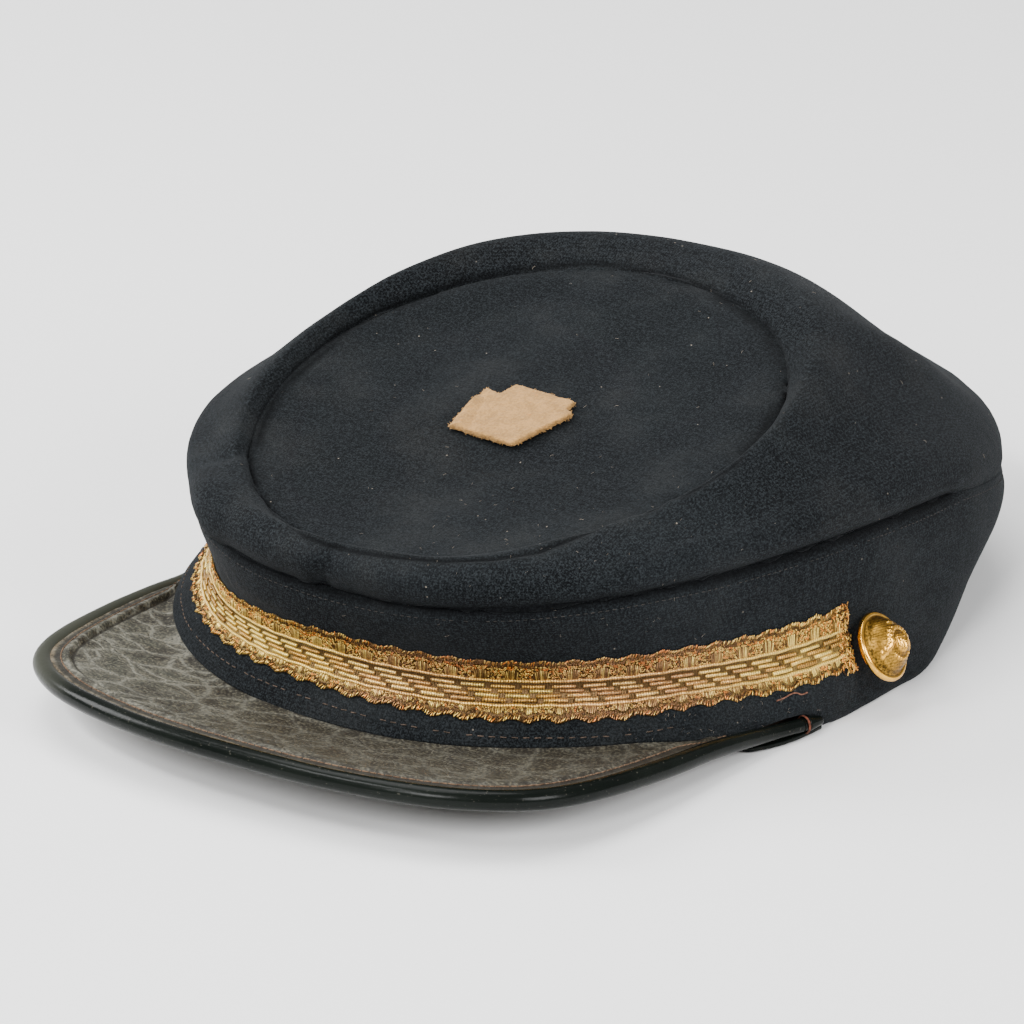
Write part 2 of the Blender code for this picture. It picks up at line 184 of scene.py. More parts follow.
# Profile of a button from its shank round its rim, radius and height, and the
# sphere that its domed face is part of.
BUTTON_BACK = ((1.5, -1.9), (1.5, 0.0), (7.2, 0.05), (7.72, 0.4), (7.95, 0.95),
               (7.88, 1.45), (7.5, 1.8), (7.1, 1.82), (6.85, 1.62))
DOME_RINGS = 34
DOME_SPHERE = 7.17
DOME_TOP = 6.5
DOME_EDGE = 6.72
BUTTON_SIDES = 120
BUTTON_LEAN = -14.0

# ---- colours (linear) ----------------------------------------------------------------

NAVY = (0.0026, 0.0035, 0.0042)
NAVY_LIGHT = (0.0200, 0.0238, 0.0265)
NAVY_DEEP = (0.0004, 0.0006, 0.0008)
WOOL_DUST = (0.0300, 0.0275, 0.0235)
LINT = (0.36, 0.31, 0.25)
STITCH_TAN = (0.155, 0.098, 0.060)
STITCH_BROWN = (0.105, 0.072, 0.052)
STITCH_DULL = (0.034, 0.029, 0.025)
PEAK_OLIVE = (0.025, 0.022, 0.013)
PEAK_GREY = (0.048, 0.047, 0.035)
PEAK_DARK = (0.011, 0.009, 0.006)
PEAK_CELL = (0.023, 0.027, 0.019)
PEAK_MOTTLE = (0.120, 0.110, 0.078)
PEAK_CRACK = (0.160, 0.156, 0.126)
PEAK_FINE_CRACK = (0.160, 0.150, 0.118)
PEAK_GRAIN = (0.165, 0.150, 0.105)
PEAK_RUBBED = (0.165, 0.120, 0.070)
PATENT = (0.0028, 0.0040, 0.0032)
PATENT_HAZE = (0.0048, 0.0064, 0.0050)
PATENT_PIT = (0.08, 0.075, 0.06)
PATENT_SHEEN_GREY = (0.0440, 0.0460, 0.0350)    # grey painted as sheen on the upward faces of the roll's far side
GOLD = (0.830, 0.480, 0.110)
GOLD_PALE = (1.000, 0.740, 0.190)
GOLD_BROWN = (0.090, 0.042, 0.014)
GOLD_DEEP = (0.010, 0.006, 0.003)
GOLD_ORANGE = (0.820, 0.230, 0.030)
GOLD_ROSE = (0.740, 0.400, 0.230)
GILT = (0.920, 0.490, 0.070)
GILT_WORN = (0.52, 0.25, 0.04)
GILT_DARK = (0.045, 0.026, 0.006)
FELT_BEIGE = (0.450, 0.250, 0.083)
FELT_SHADE = (0.280, 0.153, 0.048)
FELT_STAIN = (0.42, 0.17, 0.04)
SWEAT_BROWN = (0.018, 0.010, 0.006)
SWEAT_WORN = (0.075, 0.042, 0.022)
THREAD_RED = (0.160, 0.045, 0.024)

# ---- lamps: place, width and height in metres, and power -----------------------------

LAMPS = {
    "top_softbox": ((-0.35, 0.10, 1.45), 1.0, 1.0, 20.0),
    "strip_light": ((-0.32, -0.78, 0.98), 0.60, 0.15, 8.0),
    "left_softbox": ((-1.30, -0.45, 0.85), 0.7, 0.7, 26.0),
    "front_softbox": ((0.30, -1.45, 0.95), 0.5, 0.5, 22.0),
    "right_softbox": ((1.35, -0.25, 0.75), 0.6, 0.6, 20.0),
}

# ---- lint: count, window of the photograph in pixels, sizes, and how bent it is ------

LINT_PATCHES = {
    "disc_lint": (45, (270, 280, 760, 550), (0.3, 1.1), 0.12),
    "side_lint": (40, (200, 250, 990, 740), (0.3, 1.2), 0.08),
    "near_lint": (60, (400, 500, 700, 640), (0.25, 0.8), 0.10),
    "hem_lint": (60, (620, 690, 850, 740), (0.25, 0.9), 0.15),
}
# A loose thread on the band, in pixels, and its radius.
LOOSE_THREAD = ((776, 701), (784, 698), (790, 694.5), (796, 693), (801, 694.5),
                (807, 692.5))
LOOSE_RADIUS = 0.16

chance = random.Random(7)


# ---- shader arithmetic ---------------------------------------------------------------

class Tone:
    """One output of a finish's nodes. Sums written on it become Math nodes."""

    def __init__(self, finish, socket):
        self.finish = finish
        self.socket = socket

    def sum_of(self, operation, first, second):
        return self.finish.node("Math", {"operation": operation}, {0: first, 1: second})

    def __add__(self, other):
        return self.sum_of("ADD", self, other)

    def __radd__(self, other):
        return self.sum_of("ADD", other, self)

    def __sub__(self, other):
        return self.sum_of("SUBTRACT", self, other)

    def __rsub__(self, other):
        return self.sum_of("SUBTRACT", other, self)

    def __mul__(self, other):
        return self.sum_of("MULTIPLY", self, other)

    def __rmul__(self, other):
        return self.sum_of("MULTIPLY", other, self)

    def size(self):
        return self.sum_of("ABSOLUTE", self, 0.0)

    def wave(self):
        return self.sum_of("SINE", self, 0.0)


class Finish:
    """A material with one Principled shader, built node by node."""

    def __init__(self, name, slot, **fixed):
        self.slot = slot
        self.material = bpy.data.materials.new(name)
        self.material.use_nodes = True
        self.tree = self.material.node_tree
        self.shader = self.tree.nodes["Principled BSDF"]
        for key, value in fixed.items():
            self.shader.inputs[key.replace("_", " ")].default_value = value

    def node(self, kind, settings=None, sockets=None, output=0):
        """Add a node. Its settings come first, then the values or links it takes."""
        node = self.tree.nodes.new("ShaderNode" + kind)
        for key, value in (settings or {}).items():
            if key == "stops":
                ramp = node.color_ramp.elements
                while len(ramp) < len(value):
                    ramp.new(0.5)
                for stop, (at, colour) in zip(ramp, value):
                    stop.position = at
                    stop.color = (*colour, 1.0)
            else:
                setattr(node, key, value)
        for key, value in (sockets or {}).items():
            if isinstance(value, Tone):
                self.tree.links.new(value.socket, node.inputs[key])
            elif hasattr(value, "__len__") and len(value) == 3 and key in (6, 7):
                node.inputs[key].default_value = (*value, 1.0)
            else:
                node.inputs[key].default_value = value
        return Tone(self, node.outputs[output])

    def where(self):
        return self.node("TexCoord", output="Object")

    def specks(self, scale, detail=2.0, rough=0.5, along=None):
        """Soft noise, finer where scale is more."""
        return self.node("TexNoise", None, {
            "Vector": along or self.where(), "Scale": scale, "Detail": detail,
            "Roughness": rough})

    def drift(self, scale, reach):
        """Coordinates pushed about by soft noise, for patterns that wander."""
        push = self.node("TexNoise", None, {"Vector": self.where(), "Scale": scale},
                         "Color")
        push = self.node("VectorMath", {"operation": "SCALE"},
                         {0: push, "Scale": reach})
        return self.node("VectorMath", {"operation": "ADD"}, {0: self.where(), 1: push})

    def cells(self, scale, feature="F1", output="Distance", along=None):
        """Cracked cells, smaller where scale is more."""
        return self.node("TexVoronoi", {"feature": feature}, {
            "Vector": along or self.where(), "Scale": scale}, output)

    def stretch(self, x, y, z, turn=(0.0, 0.0, 0.0)):
        return self.node("Mapping", None, {
            "Vector": self.where(), "Scale": (x, y, z), "Rotation": turn})

    def attribute(self, name):
        """Numbers that keep_values wrote on the piece."""
        return self.node("Attribute", {"attribute_name": name}, output="Fac")

    def ease(self, tone, low, high):
        """0 below low, 1 above high, and smooth between; it falls where low is more."""
        return self.node("MapRange", {"interpolation_type": "SMOOTHSTEP"}, {
            "Value": tone, "From Min": low, "From Max": high})

    def mix(self, mask, first, second):
        """The first colour where the mask is 0 and the second where it is 1."""
        return self.node("Mix", {"data_type": "RGBA"},
                         {0: mask, 6: first, 7: second}, 2)

    def bump(self, height, strength, distance):
        return self.node("Bump", None, {"Height": height, "Strength": strength,
                                        "Distance": distance * MM})

    def feed(self, **tones):
        """Lead tones into the shader's sockets."""
        for key, tone in tones.items():
            socket = self.shader.inputs[key.replace("_", " ")]
            self.tree.links.new(tone.socket, socket)


def wool_finish(name, dust, thread, lint=1.0, dye_and_shade=0.22):
    """Napped navy broadcloth: dust in patches, pale specks, a weave that shows as much
    as thread says, and a ground as deep as dye says, which on the crown's top holds
    painted shade. Along the seams' creases the cloth is painted dark as shade."""
    cloth = Finish(name, "wool", Roughness=0.95, Sheen_Weight=0.025,
                   Sheen_Roughness=0.5, Sheen_Tint=(0.88, 0.93, 1.0, 1.0),
                   Specular_IOR_Level=0.08)
    grain = cloth.specks(3600.0, 3.0, 0.65)
    nap = cloth.specks(1700.0, 3.0, 0.65)
    patches = cloth.specks(38.0, 4.0, 0.6)
    broad = cloth.specks(14.0, 2.0, 0.5)
    bent = cloth.drift(300.0, 0.0008)
    warp = cloth.node("TexWave", {"bands_direction": "X"}, {
        "Vector": bent, "Scale": 520.0, "Distortion": 1.2, "Detail": 2.0})
    weft = cloth.node("TexWave", {"bands_direction": "Z"}, {
        "Vector": bent, "Scale": 520.0, "Distortion": 1.2, "Detail": 2.0})
    weave = warp * weft
    light = cloth.ease(nap * 0.5 + grain * 0.5, 0.45, 0.60)
    tone = cloth.mix(light, NAVY_DEEP, NAVY_LIGHT)
    # Deeper navy ground by dye; the top's larger value is painted shade.
    tone = cloth.mix(dye_and_shade, tone, NAVY)
    tone = cloth.mix(cloth.ease(weave, 0.30, 0.05) * 0.30 * thread, tone, NAVY_DEEP)
    tone = cloth.mix(cloth.ease(weave * 0.4 + grain * 0.6, 0.44, 0.62) * 0.5 * thread,
                     tone, NAVY_LIGHT)
    grey = cloth.ease(broad * 0.5 + patches * 0.5, 0.44, 0.64)
    tone = cloth.mix(grey * 0.25, tone, NAVY_LIGHT)
    dusty = cloth.ease(patches, 0.46, 0.70) * cloth.ease(grain, 0.38, 0.60)
    tone = cloth.mix(dusty * dust, tone, WOOL_DUST)
    fleck_at = cloth.cells(420.0)
    fleck_pick = cloth.cells(420.0, output="Color")
    picked = cloth.ease(cloth.node("SeparateColor", None, {0: fleck_pick}), 0.93, 0.96)
    fleck = cloth.ease(fleck_at + grain * 0.12, 0.16, 0.12) * picked * lint
    tone = cloth.mix(fleck * 0.4, tone, LINT)
    # Painted shade: the wool is darkened toward NAVY_DEEP along the seams' creases.
    tone = cloth.mix(cloth.attribute("crease") * 0.85, tone, NAVY_DEEP)
    relief = nap * 0.6 + grain * 0.45 + weave * 0.3 * thread
    cloth.feed(Base_Color=tone, Normal=cloth.bump(relief, 0.6, 0.35))
    return cloth


def peak_finish():
    """Old patent leather gone dull: crazed, dusty in its cracks and rubbed dark. Shade
    is painted in its grooves, toward its left tip and toward the band.
    """
    skin = Finish("crazed_peak_leather", "peak_leather", Specular_IOR_Level=0.30)
    turned = {"Scale": (0.85, 1.25, 1.0), "Rotation": (0.0, 0.0, math.radians(28.0))}
    bent = skin.node("Mapping", None, {"Vector": skin.drift(60.0, 0.011), **turned})
    craze = skin.cells(110.0, "DISTANCE_TO_EDGE", along=bent)
    fine = skin.cells(330.0, "DISTANCE_TO_EDGE", along=bent)
    grain = skin.specks(1500.0, 3.0, 0.6)
    blotch = skin.specks(60.0, 5.0, 0.65)
    wide = skin.specks(24.0, 3.0, 0.6)
    streak = skin.specks(1.0, 4.0, 0.6, along=skin.stretch(140.0, 560.0, 300.0,
                                                        (0.0, 0.0, math.radians(28.0))))
    here = skin.node("SeparateXYZ", None, {0: skin.where()})
    side = skin.ease(here, 0.010, -0.050)
    kept = skin.ease(wide + blotch * 0.4, 0.52, 0.72)
    ridge = skin.ease(craze, 0.075, 0.01) * 0.65 + skin.ease(craze, 0.24, 0.02) * 0.35
    crack = ridge * (side * 0.95 + kept * (1.0 - side) * 0.30)
    small = skin.ease(fine, 0.10, 0.0) * skin.ease(blotch, 0.42, 0.62)
    tone = skin.mix(skin.ease(blotch * 0.5 + side * 0.22, 0.26, 0.50), PEAK_OLIVE,
                    PEAK_GREY)
    tone = skin.mix(skin.ease(streak, 0.42, 0.64) * 0.22, tone, PEAK_DARK)
    mottle = skin.specks(460.0, 4.0, 0.7)
    tone = skin.mix(skin.ease(craze, 0.12, 0.40) * side * 0.60, tone, PEAK_CELL)
    # Painted shade: toward the left tip (x above 10 mm) the peak is darkened, and its
    # dark mottle is made heavier there.
    tone = skin.mix((1.0 - side) * 0.42, tone, PEAK_DARK)
    tone = skin.mix(skin.ease(mottle, 0.52, 0.40) * (0.78 - side * 0.40), tone,
                    PEAK_DARK)
    tone = skin.mix(skin.ease(mottle, 0.54, 0.66) * (0.30 + side * 0.10), tone,
                    PEAK_MOTTLE)
    scuff = skin.ease(blotch * 0.6 + wide * 0.4, 0.52, 0.43)
    tone = skin.mix(scuff * (0.60 + 0.4 * skin.ease(streak, 0.42, 0.58)), tone,
                    PEAK_DARK)
    tone = skin.mix(crack * 0.75, tone, PEAK_CRACK)
    tone = skin.mix(small * 0.16, tone, PEAK_FINE_CRACK)
    tone = skin.mix(skin.ease(grain, 0.50, 0.36) * 0.70, tone, PEAK_DARK)
    tone = skin.mix(skin.ease(grain, 0.49, 0.68) * (0.35 + side * 0.20), tone,
                    PEAK_GRAIN)
    edge = skin.attribute("from_roll")
    back = skin.node("SeparateXYZ", None, {0: skin.where()}, 1)
    rubbed = (skin.ease(edge, 4.1, 3.5) * skin.ease(back, -0.040, -0.062)
              * skin.ease(grain * 0.6 + blotch * 0.4, 0.38, 0.55))
    tone = skin.mix(rubbed * 0.70, tone, PEAK_RUBBED)
    # Painted shade: the grooves beside the bead are painted dark.
    groove = skin.ease(((edge - BEAD_OFFSET).size() - GROOVE_OFFSET).size(), 0.45, 0.10)
    tone = skin.mix(groove * 0.80, tone, PEAK_DARK)
    # Painted shade: darker toward the back, where the peak runs in under the band's
    # edge.
    tone = skin.mix(skin.ease(back, -0.055, -0.034) * 0.35, tone, PEAK_DARK)
    height = grain * 0.45 - crack * 0.5 - small * 0.4 + streak * 0.4 + blotch * 0.8
    skin.feed(Base_Color=tone, Roughness=0.50 + blotch * 0.25 + crack * 0.1,
              Normal=skin.bump(height, 0.7, 0.5))
    return skin


def patent_finish():
    """Black patent leather with a long soft gloss, dulled by fine rubbing."""
    roll = Finish("black_patent_leather", "binding_leather", Specular_IOR_Level=0.09)
    dents = roll.specks(130.0, 3.0, 0.5)
    haze = roll.specks(45.0, 4.0, 0.6)
    pits = roll.specks(1400.0, 2.0, 0.6)
    tone = roll.mix(roll.ease(haze, 0.35, 0.70), PATENT, PATENT_HAZE)
    tone = roll.mix(roll.ease(pits, 0.66, 0.74) * 0.5, tone, PATENT_PIT)
    here = roll.node("SeparateXYZ", None, {0: roll.where()})
    facing = roll.node("SeparateXYZ", None,
                       {0: roll.node("NewGeometry", output="Normal")}, 2)
    # Painted sheen: on the far side (x below -40 mm) the roll's upward faces are
    # painted grey-olive, and also made rougher, as dulled gloss.
    worn = roll.ease(here, -0.040, -0.064) * roll.ease(facing, -0.15, 0.40)
    tone = roll.mix(worn * (0.55 + haze * 0.5), tone, PATENT_SHEEN_GREY)
    roll.feed(Base_Color=tone, Roughness=0.14 + haze * 0.14 + worn * 0.25,
              Normal=roll.bump(dents + pits * 0.12, 0.30, 0.5))
    return roll


def lace_finish(name, stops, ticks, rose, ends=0.30):
    """Gilt wire: each wire its own tone, wound crosswise and worn brown between.
    The ramp's stops give the tones, ticks is how deep the winding shows, rose how
    pink the middle has gone, and ends how strong the painted highlight at the lace's
    ends is. Along the lace, light and shade are painted into the colour."""
    gold = Finish(name, "gold_lace", Metallic=0.70, Specular_IOR_Level=0.2)
    grain = gold.specks(2600.0, 2.0, 0.6)
    worn = gold.specks(380.0, 3.0, 0.6)
    broad = gold.specks(24.0, 2.0, 0.5)
    run = gold.attribute("run")
    # Painted light along the lace: full at its near end and about 150 mm along, none at
    # its middle, fading out toward its far end; it stands for reflection and shade.
    painted_light = (gold.ease((run - PAINTED_SHADE_MIDDLE).size(), 22.0, 72.0)
              * gold.ease(run, *PAINTED_SHADE_FAR_END))
    pick = (gold.attribute("tint") + (grain - 0.5) * 0.5 + (worn - 0.5) * 0.5
            + painted_light * 0.10)
    tone = gold.node("ValToRGB", {"stops": stops}, {0: pick})
    winding = (run * (math.tau / WINDING) + worn * 5.0).wave() * 0.5 + 0.5
    tone = gold.mix(gold.ease(winding, 0.55, 0.10) * ticks, tone, GOLD_BROWN)
    pink = gold.ease(broad, 0.50, 0.64) * (1.0 - painted_light) * rose
    tone = gold.mix(pink, tone, GOLD_ROSE)
    # Painted shade: a little browner where the painted light is least.
    tone = gold.mix((1.0 - painted_light) * 0.08, tone, GOLD_BROWN)
    speckle = gold.ease(gold.specks(1300.0, 2.0, 0.7), 0.50, 0.40)
    tone = gold.mix(speckle * (0.46 - 0.22 * painted_light), tone, GOLD_BROWN)
    # Painted highlight: paler gold where the painted light is full.
    tone = gold.mix(painted_light * ends * gold.ease(pick, 0.35, 0.60), tone, GOLD_PALE)
    gold.feed(Base_Color=tone, Roughness=0.22 + worn * 0.2,
              Normal=gold.bump(grain * 0.4 + winding * ticks, 0.6, 0.25))
    return gold


def gilt_finish():
    """Gilt brass, worn in patches and dark in the hollows of its stamp."""
    gilt = Finish("gilt_brass", "gilt_brass", Metallic=1.0)
    wear = gilt.specks(300.0, 4.0, 0.6)
    fine = gilt.specks(1800.0, 2.0, 0.6)
    deep = gilt.attribute("hollow")
    tone = gilt.mix(gilt.ease(wear, 0.42, 0.62) * 0.60, GILT, GILT_WORN)
    tone = gilt.mix(deep * (0.70 + 0.30 * gilt.ease(fine, 0.35, 0.65)), tone, GILT_DARK)
    gilt.feed(Base_Color=tone, Roughness=0.16 + wear * 0.16 + deep * 0.22,
              Normal=gilt.bump(fine * 0.4 + wear, 0.15, 0.25))
    return gilt


def felt_finish():
    """Beige felt with a soft nap and a few stains."""
    felt = Finish("beige_felt", "felt", Roughness=0.97, Sheen_Weight=0.10,
                  Sheen_Roughness=0.5, Specular_IOR_Level=0.2)
    fluff = felt.specks(1700.0, 4.0, 0.7)
    soft = felt.specks(260.0, 3.0, 0.6)
    tone = felt.mix(felt.ease(fluff * 0.6 + soft * 0.4, 0.38, 0.62), FELT_SHADE,
                    FELT_BEIGE)
    stain = felt.ease(felt.specks(700.0, 1.0), 0.70, 0.76)
    tone = felt.mix(stain * 0.6, tone, FELT_STAIN)
    felt.feed(Base_Color=tone, Normal=felt.bump(fluff, 0.7, 0.5))
    return felt


def sweat_finish():
    """Dull brown leather, worn paler in patches."""
    skin = Finish("brown_sweatband_leather", "sweat_leather", Specular_IOR_Level=0.4)
    grain = skin.cells(1100.0)
    wear = skin.specks(50.0, 4.0, 0.6)
    tone = skin.mix(skin.ease(wear, 0.35, 0.65), SWEAT_BROWN, SWEAT_WORN)
    skin.feed(Base_Color=tone, Roughness=0.45 + wear * 0.3,
              Normal=skin.bump(grain, 0.4, 0.3))
    return skin


def thread_finish(name, colour, dark):
    """Twisted thread, its colour going dark between the strands."""
    thread = Finish(name, "wool", Roughness=0.85, Specular_IOR_Level=0.25)
    twist = thread.specks(1500.0, 2.0, 0.6)
    thread.feed(Base_Color=thread.mix(thread.ease(twist, 0.35, 0.65), dark, colour))
    return thread


# ---- handling objects ----------------------------------------------------------------

def placed(name, data):
    """A new object for some data, linked to the scene."""
    thing = bpy.data.objects.new(name, data)
    bpy.context.scene.collection.objects.link(thing)
    return thing


def pick_only(piece):
    """Leave one object selected and active."""
    if bpy.context.object and bpy.context.object.mode != "OBJECT":
        bpy.ops.object.mode_set(mode="OBJECT")
    bpy.ops.object.select_all(action="DESELECT")
    piece.select_set(True)
    bpy.context.view_layer.objects.active = piece
    return piece


def apply_modifier(piece, kind, **settings):
    """Add a modifier with its settings, and apply it."""
    pick_only(piece)
    modifier = piece.modifiers.new(kind.lower(), kind)
    for key, value in settings.items():
        setattr(modifier, key, value)
    bpy.ops.object.modifier_apply(modifier=modifier.name)
    return piece


def smoothed(piece, rounds, hold=0.85):
    """Subdivide a piece. Its corners are first moved out by what rounding them off
    takes away, so that the surface still runs through their old places."""
    corners = points_of(piece).copy()
    for _ in range(2):
        trial = placed("trial", piece.data.copy())
        apply_modifier(trial, "SUBSURF", levels=rounds, render_levels=rounds)
        rounded = points_of(trial)[:len(corners)].copy()
        bpy.data.objects.remove(trial, do_unlink=True)
        move_points(piece, points_of(piece) + (corners - rounded) * hold)
    return apply_modifier(piece, "SUBSURF", levels=rounds, render_levels=rounds)


def shaded(piece, angle=None):
    """Shade a piece smooth, up to an angle in degrees where one is given."""
    pick_only(piece)
    if angle is None:
        bpy.ops.object.shade_smooth()
    else:
        bpy.ops.object.shade_smooth_by_angle(angle=math.radians(angle))
    return piece


def dressed(piece, finish, *nodes):
    """Give a finished piece its material and its place on the cap."""
    piece.data.materials.clear()
    piece.data.materials.append(finish.material)
    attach(piece, "root")
    if nodes:
        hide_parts(*nodes)
    return piece


def merged_copy(node, name):
    """A copy of a solid's mesh with its doubles merged and its triangles paired."""
    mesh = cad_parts[node].data.copy()
    mesh.name = name
    piece = pick_only(placed(name, mesh))
    bpy.ops.mesh.customdata_custom_splitnormals_clear()
    bpy.ops.object.mode_set(mode="EDIT")
    bpy.ops.mesh.select_all(action="SELECT")
    bpy.ops.mesh.remove_doubles(threshold=0.00002)
    bpy.ops.mesh.tris_convert_to_quads(face_threshold=math.radians(70),
                                       shape_threshold=math.radians(70))
    bpy.ops.object.mode_set(mode="OBJECT")
    return piece


def points_of(piece):
    """A piece's points, as rows of x, y and z in metres."""
    flat = np.empty(len(piece.data.vertices) * 3)
    piece.data.vertices.foreach_get("co", flat)
    return flat.reshape(-1, 3)


def normals_of(piece):
    """The outward normal at each of a piece's points."""
    flat = np.empty(len(piece.data.vertices) * 3)
    piece.data.vertices.foreach_get("normal", flat)
    return flat.reshape(-1, 3)


def move_points(piece, points):
    piece.data.vertices.foreach_set("co", np.asarray(points, float).ravel())
    piece.data.update()


def ripple(points, size, seed=0.0):
    """Soft noise at each point, about -1 to 1; size is its wavelength in metres."""
    shift = Vector((seed, seed * 1.7, seed * 0.3))
    return np.array([noise.noise(Vector(p) / size + shift) for p in points])


def mesh_piece(name, points, faces):
    """A new piece from its points and faces."""
    mesh = bpy.data.meshes.new(name)
    mesh.from_pydata([tuple(p) for p in points], [], faces)
    mesh.update()
    return placed(name, mesh)


def face_outward(piece):
    """Turn the faces of a closed piece outward."""
    pick_only(piece)
    bpy.ops.object.mode_set(mode="EDIT")
    bpy.ops.mesh.select_all(action="SELECT")
    bpy.ops.mesh.normals_make_consistent(inside=False)
    bpy.ops.object.mode_set(mode="OBJECT")
    return piece


def wire_curve(name, radius, resolution=1, capped=True):
    """An empty curve that will become a round wire."""
    curve = bpy.data.curves.new(name, "CURVE")
    curve.dimensions = "3D"
    curve.bevel_depth = radius
    curve.bevel_resolution = resolution
    curve.use_fill_caps = capped
    return curve


def wire_mesh(curve):
    """The mesh object of a finished curve."""
    pick_only(placed(curve.name, curve))
    bpy.ops.object.convert(target="MESH")
    return bpy.context.object


def tree_of(*pieces):
    """One search tree over the faces of some pieces."""
    points, faces = [], []
    for piece in pieces:
        start = len(points)
        points += [v.co.copy() for v in piece.data.vertices]
        faces += [[start + i for i in face.vertices] for face in piece.data.polygons]
    return BVHTree.FromPolygons(points, faces)


def repeated(name, points, faces, placings, tints=None):
    """One mesh of many copies, each with a tint of its own. A placing is a matrix."""
    points = np.asarray(points, float)
    all_points, all_faces = [], []
    for number, placing in enumerate(placings):
        turn = np.array(placing.to_3x3())
        all_points.append(points @ turn.T + np.array(placing.translation))
        start = number * len(points)
        all_faces += [[start + i for i in face] for face in faces]
    piece = mesh_piece(name, np.vstack(all_points), all_faces)
    if tints is None:
        tints = [chance.random() for _ in placings]
    return keep_values(piece, "tint", np.repeat(tints, len(points)))


def keep_values(piece, name, values):
    """Write one number per point on a piece, for its finish to read."""
    kept = piece.data.attributes.new(name, "FLOAT", "POINT")
    kept.data.foreach_set("value", np.asarray(values, np.float32))
    return piece


def pattern_from(piece):
    """The points and faces of a modelled piece, which is then removed."""
    points = points_of(piece).copy()
    faces = [tuple(face.vertices) for face in piece.data.polygons]
    bpy.data.objects.remove(piece, do_unlink=True)
    return points, faces


def capsule(length, radius, sides=8):
    """A stitch or bar along X, rounded at its ends, about the origin."""
    bpy.ops.object.select_all(action="DESELECT")
    bpy.ops.mesh.primitive_cylinder_add(vertices=sides, radius=radius, depth=length,
                                        rotation=(0, math.pi / 2, 0))
    bar = bpy.context.object
    bpy.ops.object.transform_apply(location=True, rotation=True, scale=True)
    bpy.ops.object.mode_set(mode="EDIT")
    bpy.ops.mesh.select_mode(type="FACE")
    bpy.ops.mesh.select_all(action="DESELECT")
    bpy.ops.object.mode_set(mode="OBJECT")
    for face in bar.data.polygons:
        face.select = len(face.vertices) == sides
    bpy.ops.object.mode_set(mode="EDIT")
    bpy.ops.mesh.inset(thickness=radius * 0.45, depth=radius * 0.35)
    bpy.ops.object.mode_set(mode="OBJECT")
    return pattern_from(bar)


# ---- where things are ----------------------------------------------------------------

def set_camera():
    """The camera that took the photograph."""
    back = Vector((math.sin(VIEW_ROUND) * math.cos(VIEW_UP),
                   -math.cos(VIEW_ROUND) * math.cos(VIEW_UP), math.sin(VIEW_UP)))
    data = bpy.data.cameras.new("photo_camera")
    data.sensor_width = SENSOR
    data.lens = LENS_PIXELS / PHOTO_WIDTH * SENSOR
    data.clip_start = 0.05
    data.clip_end = 20.0
    camera = placed("photo_camera", data)
    camera.location = VIEW_AIM + back * VIEW_FAR
    camera.rotation_euler = back.to_track_quat("Z", "Y").to_euler()
    bpy.context.scene.camera = camera
    bpy.context.view_layer.update()
    return camera


def pixel_ray(camera, x, y):
    """Where the line through a pixel of the photograph starts, and its direction."""
    half = PHOTO_WIDTH / 2
    ray = Vector(((x - half) / LENS_PIXELS, (half - y) / LENS_PIXELS, -1.0))
    return camera.matrix_world.translation, camera.matrix_world.to_3x3() @ ray


def under_pixel(camera, tree, x, y):
    """The point and normal of a surface under a pixel of the photograph."""
    start, ray = pixel_ray(camera, x, y)
    hit, normal, _, _ = tree.ray_cast(start, ray.normalized())
    return hit, normal


def level_under_pixel(camera, x, y, height):
    """The point at a height (mm) under a pixel of the photograph."""
    start, ray = pixel_ray(camera, x, y)
    return start + ray * ((height * MM - start.z) / ray.z)


def round_the_band(tree, angle, height):
    """The band's outer face at an angle and a height (degrees, mm)."""
    out = Vector((math.cos(math.radians(angle)), math.sin(math.radians(angle)), 0.0))
    start = Vector((0.0, BAND_MIDDLE, height)) * MM + out * 0.3
    hit, normal, _, _ = tree.ray_cast(start, -out)
    return hit, normal


def fold_cloth(piece, camera, folds):
    """Press the folds of a table into a cloth."""
    tree = tree_of(piece)
    points, normals = points_of(piece), normals_of(piece)
    shift = np.zeros(len(points))
    for row in folds.values():
        fold = dict(zip(FOLD_COLUMNS, row))
        steps = 14
        line = []
        for i in range(steps + 1):
            share = i / steps
            hit, _ = under_pixel(camera, tree,
                                 fold["x1"] + (fold["x2"] - fold["x1"]) * share,
                                 fold["y1"] + (fold["y2"] - fold["y1"]) * share)
            if hit:
                line.append((tuple(hit), math.sin(math.pi * (0.12 + 0.76 * share))))
        for at, strength in line:
            reach = np.linalg.norm(points - np.array(at), axis=1) / (fold["width"] * MM)
            fall = np.exp(-reach ** 2) * strength * fold["depth"]
            far = fall if fold["depth"] > 0 else -fall
            near = np.abs(shift) < far
            shift = np.where(near, fall, shift)
    move_points(piece, points - normals * (shift * MM)[:, None])


def line_under_pixels(camera, pixels, *pieces):
    """Points on some pieces along a line of the photograph's pixels."""
    tree = tree_of(*pieces)
    line = []
    for (x1, y1), (x2, y2) in zip(pixels, pixels[1:]):
        steps = max(2, int(math.hypot(x2 - x1, y2 - y1) / 2.5))
        for i in range(steps):
            share = i / steps
            hit, _ = under_pixel(camera, tree, x1 + (x2 - x1) * share,
                                 y1 + (y2 - y1) * share)
            if hit:
                line.append(tuple(hit))
    return np.array(line)


